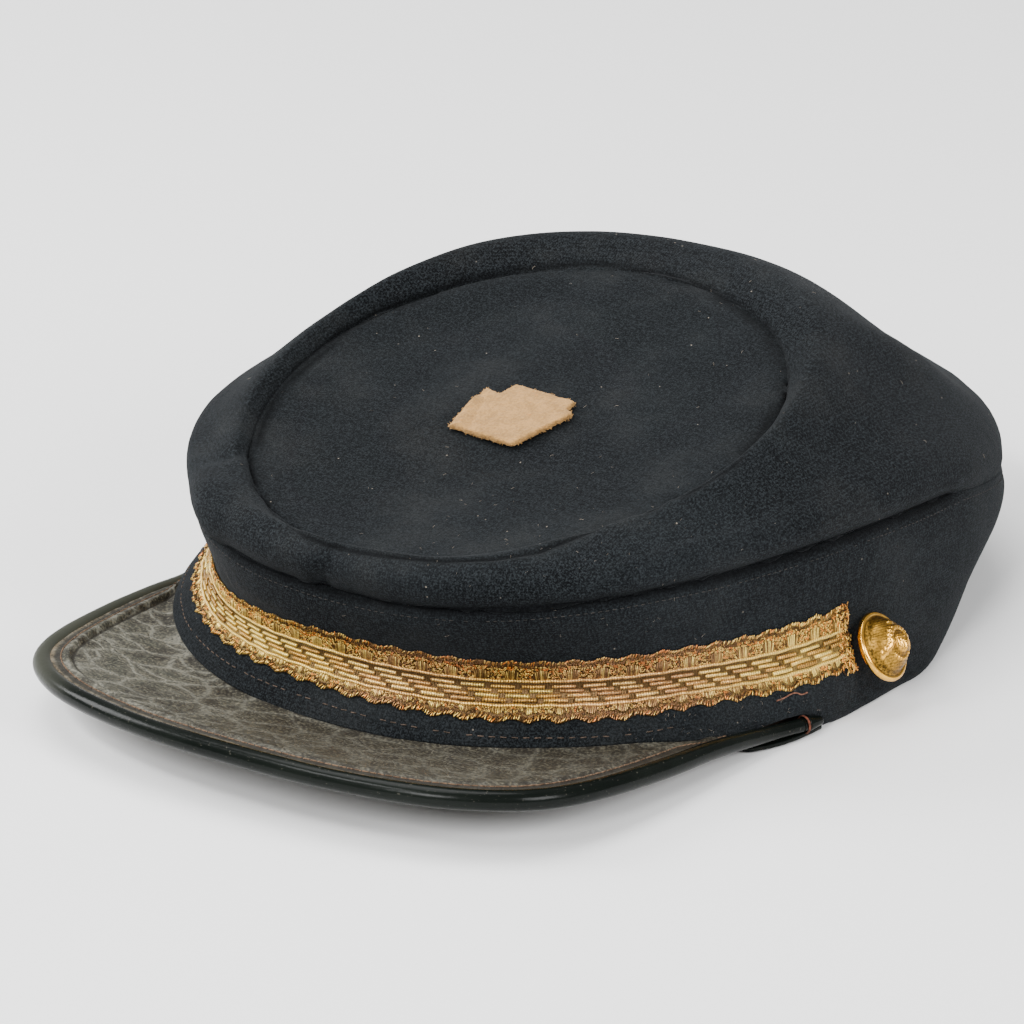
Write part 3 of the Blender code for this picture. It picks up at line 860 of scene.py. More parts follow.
def crease_cloth(line, width, depth, *pieces):
    """Press one crease into several pieces along a line, and keep where it runs, where
    the wool finish paints shade.
    """
    search = KDTree(len(line))
    for i, point in enumerate(line):
        search.insert(point, i)
    search.balance()
    for piece in pieces:
        points, normals = points_of(piece).copy(), normals_of(piece)
        near = np.array([search.find(point)[2] for point in points])
        fall = np.exp(-(near / (width * MM)) ** 2)
        move_points(piece, points - normals * (fall * depth * MM)[:, None])
        kept = piece.data.attributes.get("crease")
        if kept:
            old = np.empty(len(points), np.float32)
            kept.data.foreach_get("value", old)
            kept.data.foreach_set("value", np.maximum(old, fall).astype(np.float32))
        else:
            keep_values(piece, "crease", fall)


def stitches(name, finish, spots, length, radius):
    """A row of stitches, each given by its point, direction and outward normal."""
    points, faces = capsule(length * MM, radius * MM, 6)
    placings = []
    for at, along, normal in spots:
        side = normal.cross(along).normalized()
        lean = chance.uniform(-0.10, 0.10)
        along = (along + side * lean).normalized()
        turn = Matrix((along, normal.cross(along).normalized(), normal)).transposed()
        placings.append(Matrix.Translation(at + normal * radius * 0.35 * MM)
                        @ turn.to_4x4())
    return dressed(shaded(repeated(name, points, faces, placings)), finish)


def close_gap(piece, tree, reach):
    """Bring the edge of a piece to what it is sewn to, where that is within reach."""
    points = points_of(piece).copy()
    for i, point in enumerate(points):
        near, _, _, away = tree.find_nearest(Vector(point), reach * MM)
        if near:
            share = min(1.0, 2.0 * (1.0 - away / (reach * MM)))
            points[i] += (np.array(near) - point) * share
    move_points(piece, points)


# ---- cloth and leather pieces --------------------------------------------------------

def cloth_piece(node, name, rounds, camera, folds, finish, slack, *sewn_to):
    """A wool piece: a smoothed copy of its solid with folds and a little slack."""
    piece = smoothed(merged_copy(node, name), rounds)
    for tree in sewn_to:
        close_gap(piece, tree, 2.2)
    fold_cloth(piece, camera, folds)
    points, normals = points_of(piece), normals_of(piece)
    swell = (ripple(points, 0.030, 3.1) * slack
             + ripple(points, 0.011, 8.7) * slack * 0.4)
    lift = np.clip(points[:, 2] / 0.004, 0.0, 1.0)
    points = points + normals * (swell * lift * MM)[:, None]
    points[:, 2] = np.maximum(points[:, 2], 0.0)
    move_points(piece, points)
    return dressed(shaded(piece), finish, node)


def middle_line(piece):
    """The middle line of the binding's roll, from its left tip to its right one."""
    points = points_of(piece)
    angles = np.degrees(np.arctan2(points[:, 1] - BAND_MIDDLE * MM, points[:, 0]))
    line = []
    for angle in np.linspace(angles.max(), angles.min(), 150):
        share = np.exp(-((angles - angle) / 1.5) ** 2)
        line.append((points * share[:, None]).sum(0) / share.sum())
    return np.array(line)


def away_from(points, line):
    """How far each point is from a line, and the line's nearest point."""
    near = np.zeros_like(points)
    least = np.full(len(points), 1e9)
    for start, stop in zip(line, line[1:]):
        along = stop - start
        share = np.clip(((points - start) @ along) / (along @ along), 0, 1)
        spot = start + share[:, None] * along
        gap = np.linalg.norm(points - spot, axis=1)
        closer = gap < least
        near[closer], least[closer] = spot[closer], gap[closer]
    return least / MM, near


def droop_tips(piece, share):
    """Lower a piece near the peak's left tip; share is how far each point follows."""
    points = points_of(piece)
    fall = np.interp(points[:, 1] / MM, TIP_REACH, (0.0, 1.0, 1.0, 0.0))
    drop = TIP_DROOP * fall * fall * (3 - 2 * fall) * share * (points[:, 0] > 0)
    move_points(piece, points - np.array([0.0, 0.0, MM]) * drop[:, None])


def peak_piece(finish, roll_line, band_tree):
    """The peak, sewn to band and roll, with an embossed bead inside the roll."""
    piece = smoothed(merged_copy("peak", "peak_leather"), 4)
    away, _ = away_from(points_of(piece), roll_line)
    droop_tips(piece, np.clip((away - 1.0) / 2.0, 0, 1))
    close_gap(piece, band_tree, 1.6)
    points, normals = points_of(piece), normals_of(piece)
    away, near = away_from(points, roll_line)
    bead = BEAD[0] * np.exp(-((away - BEAD_OFFSET) / BEAD[1]) ** 2)
    groove = sum(GROOVE[0] * np.exp(-((away - BEAD_OFFSET - side) / GROOVE[1]) ** 2)
                 for side in (GROOVE_OFFSET, -GROOVE_OFFSET))
    soft = ripple(points, 0.022, 5.0) * 0.30 + ripple(points, 0.009, 2.0) * 0.12
    lift = np.where(normals[:, 2] > 0.3, bead - groove, 0.0)
    lift += soft * np.clip((away - 5.0) / 6.0, 0, 1)
    lift += np.where(normals[:, 2] > 0.0, 1.2 * np.exp(-((away - 2.5) / 2.8) ** 2), 0.0)
    tuck = 2.0 * np.clip((4.9 - away) / 1.4, 0, 1)
    toward = (near - points) / np.maximum(away * MM, 1e-6)[:, None]
    move_points(piece, points + normals * (lift * MM)[:, None]
                + toward * (tuck * MM)[:, None])
    keep_values(piece, "from_roll", away)
    return dressed(shaded(piece), finish, "peak")


def binding_piece(finish):
    """The rolled binding, and the middle line of its roll."""
    piece = smoothed(merged_copy("peak_binding", "binding_roll"), 2)
    line = middle_line(piece)
    points, normals = points_of(piece), normals_of(piece)
    dents = ripple(points, 0.016, 1.0) * 0.10
    _, near = away_from(points, line)
    points = near + (points - near) * ROLL_SHARE
    move_points(piece, points + normals * (dents * MM)[:, None])
    dressed(shaded(piece), finish, "peak_binding")
    return line


def felt_piece(finish):
    """The patch, thick and soft, with its left edge folded over and a fuzzy rim."""
    piece = merged_copy("felt_patch", "felt_patch_cloth")
    apply_modifier(piece, "REMESH", mode="VOXEL", voxel_size=0.00032)
    apply_modifier(piece, "SMOOTH", factor=0.6, iterations=4)
    points, normals = points_of(piece), normals_of(piece)
    rim = [i for i in range(len(points)) if abs(normals[i][2]) < 0.5]
    left, right = np.array(FELT_FOLD) * MM
    along = right - left
    share = np.clip(((points[:, :2] - left) @ along) / (along @ along), 0, 1)
    away = np.linalg.norm(points[:, :2] - (left + share[:, None] * along), axis=1) / MM
    fluff = ripple(points, 0.0011, 4.0) * 0.10 + ripple(points, 0.004, 6.0) * 0.12
    points = points + normals * (fluff * MM)[:, None]
    rise = 0.75 * np.exp(-(away / 1.4) ** 2) - 0.30 * np.exp(-((away - 2.5) / 0.5) ** 2)
    points[:, 2] += np.where(normals[:, 2] > 0.2, rise, 0.0) * MM
    move_points(piece, points)
    dressed(shaded(piece), finish, "felt_patch")

    placings = []
    for _ in range(FUZZ_HAIRS):
        i = chance.choice(rim)
        out = Vector(normals[i]) + Vector([chance.uniform(-0.7, 0.7) for _ in range(3)])
        turn = out.to_track_quat("X", "Z").to_matrix().to_4x4()
        placings.append(Matrix.Translation(Vector(points[i])) @ turn)
    length, radius = FUZZ_HAIR
    fuzz = repeated("felt_patch_fuzz", *capsule(length * MM, radius * MM, 4), placings)
    dressed(shaded(fuzz), finish)


# ---- lace ----------------------------------------------------------------------------

def lace_sway(share):
    """How much higher the lace's two edges run at a share of its length."""
    along = share * LACE_SWAY[-1, 0]
    return [float(np.interp(along, LACE_SWAY[:, 0], LACE_SWAY[:, side]))
            for side in (1, 2)]


class LaceBed:
    """The face of the band under the lace, as a grid that flat work is laid on."""

    def __init__(self, tree):
        self.columns, self.rows = 320, 14
        start, stop = LACE_ENDS
        grid = []
        for i in range(self.columns):
            share = i / (self.columns - 1)
            low, high = (LACE_EDGES[side] + lace_sway(share)[side] for side in (0, 1))
            angle = start + (stop - start) * share
            grid.append([round_the_band(tree, angle, low + (high - low) * j
                                        / (self.rows - 1))[0]
                         for j in range(self.rows)])
        self.points = np.array([[tuple(p) for p in column] for column in grid])
        along = np.gradient(self.points, axis=0)
        across = np.gradient(self.points, axis=1)
        normal = np.cross(across, along)
        outward = self.points - np.array([0.0, BAND_MIDDLE * MM, 0.018])
        flip = np.sign((normal * outward).sum(2))[..., None]
        normal = normal * flip
        self.normals = normal / np.linalg.norm(normal, axis=2)[..., None]
        middle = self.points[:, self.rows // 2]
        steps = np.linalg.norm(np.diff(middle, axis=0), axis=1)
        self.run = np.concatenate([[0.0], np.cumsum(steps)]) / MM
        self.length = self.run[-1]

    def lay(self, flat):
        """Points along, across and off the lace (mm), brought onto the band."""
        flat = np.asarray(flat, float)
        column = np.interp(flat[:, 0], self.run, np.arange(self.columns))
        column += (flat[:, 0] < 0) * flat[:, 0] / self.run[1]
        column += np.maximum(flat[:, 0] - self.length, 0) / self.run[1]
        row = flat[:, 1] / LACE_WIDTH * (self.rows - 1)
        i = np.clip(np.floor(column).astype(int), 0, self.columns - 2)
        j = np.clip(np.floor(row).astype(int), 0, self.rows - 2)
        a, b = (column - i)[:, None], (row - j)[:, None]

        def spread(grid):
            return (grid[i, j] * (1 - a) * (1 - b) + grid[i + 1, j] * a * (1 - b)
                    + grid[i, j + 1] * (1 - a) * b + grid[i + 1, j + 1] * a * b)

        return spread(self.points) + spread(self.normals) * flat[:, 2:] * MM


def lay_copies(name, bed, pattern, placings, *rest):
    """Copies of a flat pattern (mm), each moved and turned, laid on the band. Their
    finish comes last, after their tints where they have some."""
    *tints, finish = rest
    return laid(repeated(name, *pattern, placings, *tints), bed, finish)


def laid(piece, bed, finish):
    """Bring a piece that was made flat onto the band, and dress it."""
    flat = points_of(piece).copy()
    keep_values(piece, "run", flat[:, 0])
    move_points(piece, bed.lay(flat))
    return dressed(shaded(face_outward(piece)), finish)


def jumble(point, amount):
    """A point moved by chance, as far as amount each way."""
    return [value + chance.uniform(-amount, amount) for value in point]


def edge_dip(along, shift):
    """How far the lace's edge lies inside its scallops' tops at a place along it."""
    turn = math.pi * (along - shift - SCALLOP_START) / SCALLOP_PITCH
    return EDGE_DIP * np.abs(np.sin(turn)) ** 1.6


def lace_pieces(tree):
    """The lace: a scalloped ground, wound rails, staggered bars and looped edges."""
    bed = LaceBed(tree)
    ground = lace_finish("lace_ground_wire", (
        (0.0, GOLD_DEEP), (0.45, (0.060, 0.038, 0.014)), (0.8, (0.110, 0.070, 0.026)),
        (1.0, GOLD_BROWN)), 0.6, 0.0, 0.10)
    cord = lace_finish("lace_wound_cord", (
        (0.0, (0.36, 0.20, 0.05)), (0.45, GOLD), (0.90, GOLD_PALE), (1.0, GOLD_PALE)),
        0.80, 0.40, 0.45)
    rays = lace_finish("lace_ray_wire", (
        (0.0, (0.10, 0.058, 0.018)), (0.5, (0.36, 0.21, 0.055)), (1.0, GOLD_PALE)),
        0.1, 0.3, 0.20)
    loops = lace_finish("lace_looped_wire", (
        (0.0, GOLD_DEEP), (0.28, GOLD_BROWN), (0.52, (0.62, 0.31, 0.07)),
        (0.78, GOLD_PALE), (0.88, GOLD), (0.96, GOLD_ORANGE)), 0.10, 0.30, 0.20)
    woven = lace_ground(bed, ground)
    for number, (across, radius) in enumerate(RAILS.items()):
        rail_cord(f"lace_rail_{number + 1}", bed, across, radius, cord)

    placings = []
    for row, across in enumerate(BAR_ROWS):
        at = (BAR_START + row * BAR_SHIFT) % BAR_PITCH
        while at < bed.length - BAR_LENGTH / 2:
            if at > BAR_LENGTH / 2:
                spot = jumble((at, across, 0.60), 0.05)
                lean = Matrix.Rotation(chance.uniform(-0.025, 0.025), 4, "Z")
                placings.append(Matrix.Translation(spot) @ lean)
            at += BAR_PITCH
    lay_copies("lace_bars", bed, capsule(BAR_LENGTH, BAR_RADIUS, 8), placings, cord)

    ray = capsule(1.0, 0.13, 5)
    fence = capsule(*FENCE_WIRE, 5)
    for side, row in EDGES.items():
        edge = dict(zip(EDGE_COLUMNS, row))
        lay_copies(f"lace_{side}_loops", bed, wire_loop(), *scallop_loops(bed, edge),
                   loops)
        lay_copies(f"lace_{side}_fence", bed, fence, *edge_fence(bed, edge), loops)
        lay_copies(f"lace_{side}_rays", bed, ray, block_rays(bed, edge), rays)
    ends = []
    for spread, middle in ((0.9, 0.2), (1.8, 1.7), (0.6, bed.length - 0.3)):
        for _ in range(END_WIRES):
            spot = (middle + chance.gauss(0.0, spread * 0.5), chance.uniform(0.2, 13.1),
                    chance.uniform(0.5, 1.1))
            turn = Matrix.Rotation(chance.uniform(-0.6, 2.6), 4, "Z")
            ends.append(Matrix.Translation(spot) @ turn)
    lay_copies("lace_end_wires", bed, capsule(*FRAYED_WIRE, 5), ends, loops)
    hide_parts("lace_strap")


def wire_loop():
    """One small closed loop of gilt wire, lying flat about the origin."""
    ring, wire = LOOP_SIZE
    bpy.ops.object.select_all(action="DESELECT")
    bpy.ops.mesh.primitive_torus_add(major_radius=ring, minor_radius=wire,
                                     major_segments=6, minor_segments=4)
    return pattern_from(bpy.context.object)


def scallops(bed, shift):
    """The middles of the scallops along the lace."""
    start = SCALLOP_START + shift
    first = math.floor(-start / SCALLOP_PITCH) - 1
    last = math.ceil((bed.length - start) / SCALLOP_PITCH) + 1
    return [start + SCALLOP_PITCH * k for k in range(first, last + 1)]


def scallop_loops(bed, edge):
    """Places and tints of the small loops that fill the scallops along one edge: pale
    beside the blocks of rays, orange beyond them and dark behind the fence."""
    placings, tints = [], []
    way = edge["way"]
    rows = int(abs(edge["limit"] - edge["foot"]) / LOOP_PITCH)
    for row in range(rows + 1):
        along = 0.3 + 0.5 * LOOP_PITCH * (row % 2)
        lift = (row + 0.3) * LOOP_PITCH
        across = edge["foot"] + way * lift
        while along < bed.length - 0.3:
            off = abs((along - SCALLOP_START - edge["shift"] + SCALLOP_PITCH / 2)
                      % SCALLOP_PITCH - SCALLOP_PITCH / 2)
            dip = edge_dip(along, edge["shift"])
            room = (edge["limit"] - way * dip - across) * way
            over = lift - (edge["reach"] + 0.15 - 0.15 * off * off)
            beside = off > BLOCK_HALF
            if room > 0.55 and (beside or over > 0):
                spot = jumble((along, across, 0.55), 0.13)
                size = chance.uniform(0.85, 1.15)
                placings.append(Matrix.Translation(spot)
                                @ Matrix.Rotation(chance.uniform(0, math.tau), 4, "Z")
                                @ Matrix.Rotation(chance.uniform(0.1, 0.8), 4, "X")
                                @ Matrix.Diagonal((size, size * 0.8, 1.0, 1.0)))
                if room < 1.25:
                    tints.append(chance.uniform(0.05, 0.40))
                elif not beside or over > 0:
                    tints.append(chance.uniform(0.55, 1.05))
                else:
                    tints.append(chance.choice((0.2, 0.45, 0.7, 0.75, 0.85)))
            along += LOOP_PITCH
    return placings, tints


def edge_fence(bed, edge):
    """Places and tints of the leaning wires along one edge of the lace."""
    placings, tints = [], []
    along = 0.2
    while along < bed.length - 0.2:
        across = edge["fence"] - edge["way"] * edge_dip(along, edge["shift"])
        lean = math.radians(FENCE_LEAN) + chance.uniform(-0.5, 0.5)
        placings.append(Matrix.Translation(jumble((along, across, 0.50), 0.12))
                        @ Matrix.Rotation(lean, 4, "Z"))
        tints.append(chance.choice((0.25, 0.38, 0.5, 0.62, 0.75, 0.98)))
        along += FENCE_PITCH + chance.uniform(-0.08, 0.08)
    return placings, tints


def block_rays(bed, edge):
    """Places of the straight rays under each scallop."""
    placings = []
    for middle in scallops(bed, edge["shift"]):
        for number in range(RAYS):
            off = number - (RAYS - 1) / 2
            along = middle + off * RAY_PITCH
            if not 0.5 < along < bed.length - 0.5:
                continue
            reach = edge["reach"] - 0.040 * off * off
            lean = math.radians(90.0) - edge["way"] * off * 0.045
            spot = jumble((along, edge["foot"] + edge["way"] * (reach / 2 - 0.1), 0.58),
                          0.03)
            placings.append(Matrix.Translation(spot) @ Matrix.Rotation(lean, 4, "Z")
                            @ Matrix.Diagonal((reach, 1.15, 1.0, 1.0)))
    return placings


def lace_ground(bed, finish):
    """The woven ground under the wires, its two edges cut in scallops."""
    columns, rows = 700, 9
    bpy.ops.object.select_all(action="DESELECT")
    bpy.ops.mesh.primitive_grid_add(x_subdivisions=columns, y_subdivisions=rows,
                                    size=1.0)
    piece = bpy.context.object
    piece.name = piece.data.name = "lace_ground"
    points = points_of(piece).copy()
    along = (points[:, 0] + 0.5) * bed.length
    upper, lower = (dict(zip(EDGE_COLUMNS, EDGES[side])) for side in EDGES)
    low = lower["limit"] + 0.1 + edge_dip(along, lower["shift"])
    high = upper["limit"] - 0.1 - edge_dip(along, upper["shift"])
    points[:, 1] = low + (high - low) * (points[:, 1] + 0.5)
    points[:, 0] = along
    points[:, 2] = 0.25
    move_points(piece, points)
    keep_values(piece, "tint", np.full(len(points), 0.42))
    laid(piece, bed, finish)
    return apply_modifier(piece, "SOLIDIFY", thickness=0.4 * MM, offset=0.0)


def rail_cord(name, bed, across, radius, finish):
    """A wound cord that runs the length of the lace, flat, then laid on the band."""
    curve = wire_curve(name, radius)
    line = curve.splines.new("POLY")
    steps = int(bed.length / 0.8)
    line.points.add(steps)
    for k, point in enumerate(line.points):
        at = k / steps * bed.length
        point.co = (at, across + 0.07 * math.sin(at * 0.9), 0.60, 1.0)
        point.radius = 1.0 + 0.05 * math.sin(at * 2.3)
    cord = wire_mesh(curve)
    keep_values(cord, "tint", np.full(len(cord.data.vertices), 0.55))
    return laid(cord, bed, finish)


# ---- buttons -------------------------------------------------------------------------

def blob(x, y, at_x, at_y, wide, tall, soft=0.25):
    """1 inside an oval and 0 outside it, with a soft edge."""
    away = np.sqrt(((x - at_x) / wide) ** 2 + ((y - at_y) / tall) ** 2)
    return np.clip((1.0 + soft - away) / (2 * soft), 0.0, 1.0)


def crest_relief(x, y):
    """Height of a plain stamped crest on the dome (mm): a barred shield under an
    arch of leaves, on a finely lined ground."""
    height = 0.05 + 0.05 * np.sin(y * math.tau / 0.55)
    shield = blob(x, y, 0.0, -0.6, 1.9, 2.2, 0.10) * (y < 1.1)
    bars = np.where(y < 0.2, 0.18 * np.sin(x * math.tau / 0.8),
                    0.16 * np.sin(y * math.tau / 0.5))
    height = np.where(shield > 0.1, shield * (0.40 + bars), height)
    for k in range(9):
        turn = math.radians(10 + 20 * k)
        leaf = blob(x, y, 3.0 * math.cos(turn), 0.1 + 2.9 * math.sin(turn), 0.66, 0.5,
                    0.3)
        height = np.maximum(height, leaf * 0.55)
    for sign in (-1, 1):
        for k in range(5):
            wing = blob(x, y, sign * (2.5 + 0.62 * k), 0.3 - 0.62 * k, 0.42, 1.0, 0.3)
            height = np.maximum(height, wing * (0.52 - 0.04 * k))
    height = np.maximum(height, blob(x, y, 0.0, 4.4, 0.9, 0.5, 0.3) * 0.40)
    for k in range(7):
        berry = blob(x, y, -2.4 + 0.8 * k, -4.1 + 0.12 * (k - 3) ** 2, 0.36, 0.36, 0.4)
        height = np.maximum(height, berry * 0.42)
    return height


def button_piece(node, finish):
    """A domed shank button with a rolled rim and a stamped face."""
    centre = DOME_TOP - DOME_SPHERE
    widest = math.asin(DOME_EDGE / DOME_SPHERE)
    dome = [(DOME_SPHERE * math.sin(widest * (1 - k / DOME_RINGS)),
             centre + DOME_SPHERE * math.cos(widest * (1 - k / DOME_RINGS)))
            for k in range(DOME_RINGS)]
    profile = list(BUTTON_BACK) + dome
    bpy.ops.object.select_all(action="DESELECT")
    bpy.ops.mesh.primitive_circle_add(vertices=BUTTON_SIDES, radius=profile[0][0] * MM,
                                      fill_type="NGON",
                                      location=(0, 0, profile[0][1] * MM))
    button = bpy.context.object
    bpy.ops.object.transform_apply(location=True, rotation=True, scale=True)
    bpy.ops.object.mode_set(mode="EDIT")
    bpy.ops.mesh.select_mode(type="EDGE")
    bpy.ops.mesh.select_all(action="SELECT")
    for (radius, height), (following, rise) in zip(profile, profile[1:]):
        bpy.ops.mesh.extrude_edges_move(
            TRANSFORM_OT_translate={"value": (0, 0, (rise - height) * MM)})
        size = following / radius
        bpy.ops.transform.resize(value=(size, size, 1.0),
                                 center_override=(0, 0, rise * MM))
    bpy.ops.mesh.merge(type="CENTER")
    bpy.ops.mesh.select_all(action="SELECT")
    bpy.ops.mesh.normals_make_consistent(inside=False)
    bpy.ops.object.mode_set(mode="OBJECT")
    button.name = button.data.name = node.replace("button", "gilt_button")

    points = points_of(button) / MM
    outward = points - np.array([0.0, 0.0, centre])
    outward /= np.linalg.norm(outward, axis=1)[:, None]
    radius = np.hypot(points[:, 0], points[:, 1])
    face = (points[:, 2] > 1.5) & (radius < DOME_EDGE - 0.05)
    relief = crest_relief(outward[:, 0] * DOME_SPHERE, outward[:, 1] * DOME_SPHERE)
    relief = relief * np.clip((DOME_EDGE - 0.35 - radius) / 0.5, 0, 1)
    points += outward * np.where(face, relief - 0.15, 0.0)[:, None]
    hollow = np.where(face, np.clip(1.0 - relief / 0.3, 0, 1), 0.0)
    rim = np.exp(-((radius - DOME_EDGE - 0.1) / 0.3) ** 2) * (points[:, 2] > 1.2)
    keep_values(button, "hollow", np.maximum(hollow, rim))

    measure = merged_copy(node, "button_measure")
    solid = points_of(measure).copy()
    bpy.data.objects.remove(measure, do_unlink=True)
    middle = solid.mean(0)
    facing = Vector(np.linalg.svd(solid - middle, full_matrices=False)[2][2])
    if facing.x * middle[0] < 0:
        facing = -facing
    rise = ((solid - middle) @ np.array(facing)).max() - DOME_TOP * MM
    base = Vector(middle) + facing * rise
    right = Vector((0, 0, 1)).cross(facing).normalized()
    turn = Matrix((right, facing.cross(right), facing)).transposed()
    turn = turn @ Matrix.Rotation(math.radians(BUTTON_LEAN), 3, "Z")
    move_points(button, (points * MM) @ np.array(turn).T + np.array(base))
    return dressed(shaded(button), finish, node)


# ---- threads, lint and stitches ------------------------------------------------------

def fibre_pattern(kink):
    """A short bent hair along X, one unit long."""
    curve = wire_curve("hair", 0.026, 0, False)
    line = curve.splines.new("POLY")
    line.points.add(5)
    for k in range(6):
        share = k / 5
        line.points[k].co = (share - 0.5, kink * math.sin(share * 5.0),
                             0.10 * math.sin(share * math.pi) + 0.03, 1.0)
        line.points[k].radius = 1.0 - 0.5 * abs(share - 0.5)
    return pattern_from(wire_mesh(curve))


def lint_piece(name, camera, tree, count, window, sizes, finish, kink):
    """Hairs and fluff caught on the cloth within a window of the photograph."""
    pattern = fibre_pattern(kink)
    placings = []
    left, top, right, bottom = window
    while len(placings) < count:
        hit, normal = under_pixel(camera, tree, chance.uniform(left, right),
                                  chance.uniform(top, bottom))
        if not hit:
            continue
        size = chance.uniform(*sizes) * MM
        turn = normal.to_track_quat("Z", "Y").to_matrix().to_4x4()
        spin = Matrix.Rotation(chance.uniform(0, math.tau), 4, "Z")
        placings.append(Matrix.Translation(hit + normal * 0.05 * MM) @ turn @ spin
                        @ Matrix.Diagonal((size, size, size, 1.0)))
    return dressed(shaded(repeated(name, *pattern, placings)), finish)


def hem_stitches(tree, finish):
    """The row of stitches above the band's lower edge, over the peak."""
    start, stop = HEM_ROW_ANGLES
    pitch, length, radius = HEM_STITCH
    spots, angle = [], start
    while angle > stop:
        share = (angle - LACE_ENDS[0]) / (LACE_ENDS[1] - LACE_ENDS[0])
        height = HEM_ROW_HEIGHT + lace_sway(share)[0]
        at, normal = round_the_band(tree, angle, height)
        ahead, _ = round_the_band(tree, angle - 0.5, height)
        if chance.random() > HEM_WORN:
            spots.append((at, (ahead - at).normalized(), normal))
        angle -= pitch * MM / (ahead - at).length * 0.5
    return stitches("hem_stitches", finish, spots, length, radius)


def seam_stitches(tree, seam, finish):
    """The row just below the seam of band and crown, all the way round."""
    pitch, length, radius = SEAM_STITCH
    spots, angle = [], 0.0
    while angle < 360.0:
        at, normal = round_the_band(tree, angle, seam(angle) - SEAM_ROW_DROP)
        ahead, _ = round_the_band(tree, angle + 0.5, seam(angle + 0.5) - SEAM_ROW_DROP)
        if chance.random() > SEAM_WORN:
            spots.append((at, (ahead - at).normalized(), normal))
        angle += pitch * MM / (ahead - at).length * 0.5
    return stitches("seam_stitches", finish, spots, length, radius)


def seam_height(piece):
    """The band's upper edge height by angle (mm), measured on the dressed band."""
    points = points_of(piece)
    angles = np.degrees(np.arctan2(points[:, 1] - BAND_MIDDLE * MM, points[:, 0])) % 360
    tops = np.array([points[np.abs((angles - a + 180) % 360 - 180) < 2.5, 2].max()
                     for a in range(0, 360, 5)]) / MM
    return lambda angle: float(np.interp(angle % 360, np.arange(0, 365, 5),
                                         np.append(tops, tops[0])))


def peak_stitches(tree, line, finish):
    """Small stitches that hold the binding, just inside its roll."""
    steps = np.linalg.norm(np.diff(line, axis=0), axis=1)
    run = np.concatenate([[0.0], np.cumsum(steps)])
    spots = []
    count = int(run[-1] / (PEAK_STITCH_PITCH * MM))
    for k in range(4, count - 4):
        at = run[-1] * k / count
        spot = Vector([np.interp(at, run, line[:, c]) for c in range(3)])
        ahead = Vector([np.interp(at + 0.001, run, line[:, c]) for c in range(3)])
        along = (ahead - spot).normalized()
        inward = Vector((0, 0, 1)).cross(along).normalized()
        if inward.dot(Vector((0.0, -0.03, 0.0)) - spot) < 0:
            inward = -inward
        above = spot + inward * PEAK_STITCH_INSET * MM + Vector((0, 0, 0.02))
        hit, normal, _, _ = tree.ray_cast(above, Vector((0, 0, -1)))
        if hit and normal.z > 0.3:
            spots.append((hit, along, normal))
    return stitches("peak_stitches", finish, spots, 1.35, 0.16)


def tip_whipping(line, finish):
    """A turn or two of rusty thread round the binding at each tip."""
    bpy.ops.object.select_all(action="DESELECT")
    bpy.ops.mesh.primitive_torus_add(major_radius=1.98 * MM, minor_radius=0.15 * MM,
                                     major_segments=40, minor_segments=8)
    points, faces = pattern_from(bpy.context.object)
    placings = []
    for tip, inner in ((line[0], line[6]), (line[-1], line[-7])):
        along = Vector(inner - tip).normalized()
        for turn in range(2):
            at = Vector(tip) + along * (0.3 + turn * 0.26) * MM
            lean = along.to_track_quat("Z", "Y").to_matrix().to_4x4()
            wobble = Matrix.Rotation(chance.uniform(-0.06, 0.06), 4, "X")
            placings.append(Matrix.Translation(at) @ lean @ wobble)
    return dressed(shaded(repeated("tip_whipping", points, faces, placings)), finish)


def roll_tails(line, finish):
    """The roll's ends beyond the thread: each a short tapered piece of leather."""
    for name, tip, inner in (("left", line[0], line[6]), ("right", line[-1], line[-7])):
        bpy.ops.object.select_all(action="DESELECT")
        bpy.ops.mesh.primitive_cone_add(vertices=28, radius1=1.9 * MM, radius2=1.0 * MM,
                                        depth=5.0 * MM, location=(0, 0, 2.5 * MM))
        tail = bpy.context.object
        tail.name = tail.data.name = "binding_tail_" + name
        apply_modifier(tail, "BEVEL", width=0.7 * MM, segments=4)
        away = Vector(tip - inner).normalized()
        turn = np.array(away.to_track_quat("Z", "Y").to_matrix())
        points = points_of(tail) + np.array([0.0, 0.0, 2.5 * MM])
        points[:, :2] *= 1.0 - 18.0 * points[:, 2:] * 0.4
        points = points @ turn.T + tip
        points[:, 2] = np.maximum(points[:, 2], 0.0004)
        tail.location = (0, 0, 0)
        move_points(tail, points)
        dressed(shaded(tail, 50), finish)


def tail_flaps(camera, finish):
    """The thin leather that shows on the floor under each end of the roll."""
    for name, way in (("left", 1.0), ("right", -1.0)):
        spots = [level_under_pixel(camera, x, y, 0.7) for x, y in TAIL_OUTLINE]
        points = [(spot.x * way, spot.y, spot.z) for spot in spots]
        flap = mesh_piece("peak_lining_" + name, points, [tuple(range(len(points)))])
        face_outward(flap)
        apply_modifier(flap, "SOLIDIFY", thickness=1.0 * MM, offset=0.0)
        apply_modifier(flap, "BEVEL", width=0.3 * MM, segments=2)
        dressed(shaded(flap, 40), finish)


def loose_thread(name, camera, tree, pixels, radius, finish):
    """A bit of thread caught on the cloth, through some pixels of the photograph."""
    curve = wire_curve(name, radius * MM)
    line = curve.splines.new("BEZIER")
    line.bezier_points.add(len(pixels) - 1)
    for knot, (x, y) in zip(line.bezier_points, pixels):
        hit, normal = under_pixel(camera, tree, x, y)
        knot.co = hit + normal * radius * 1.2 * MM
        knot.handle_left_type = knot.handle_right_type = "AUTO"
    return dressed(shaded(wire_mesh(curve)), finish)


# ---- floor and lights ----------------------------------------------------------------

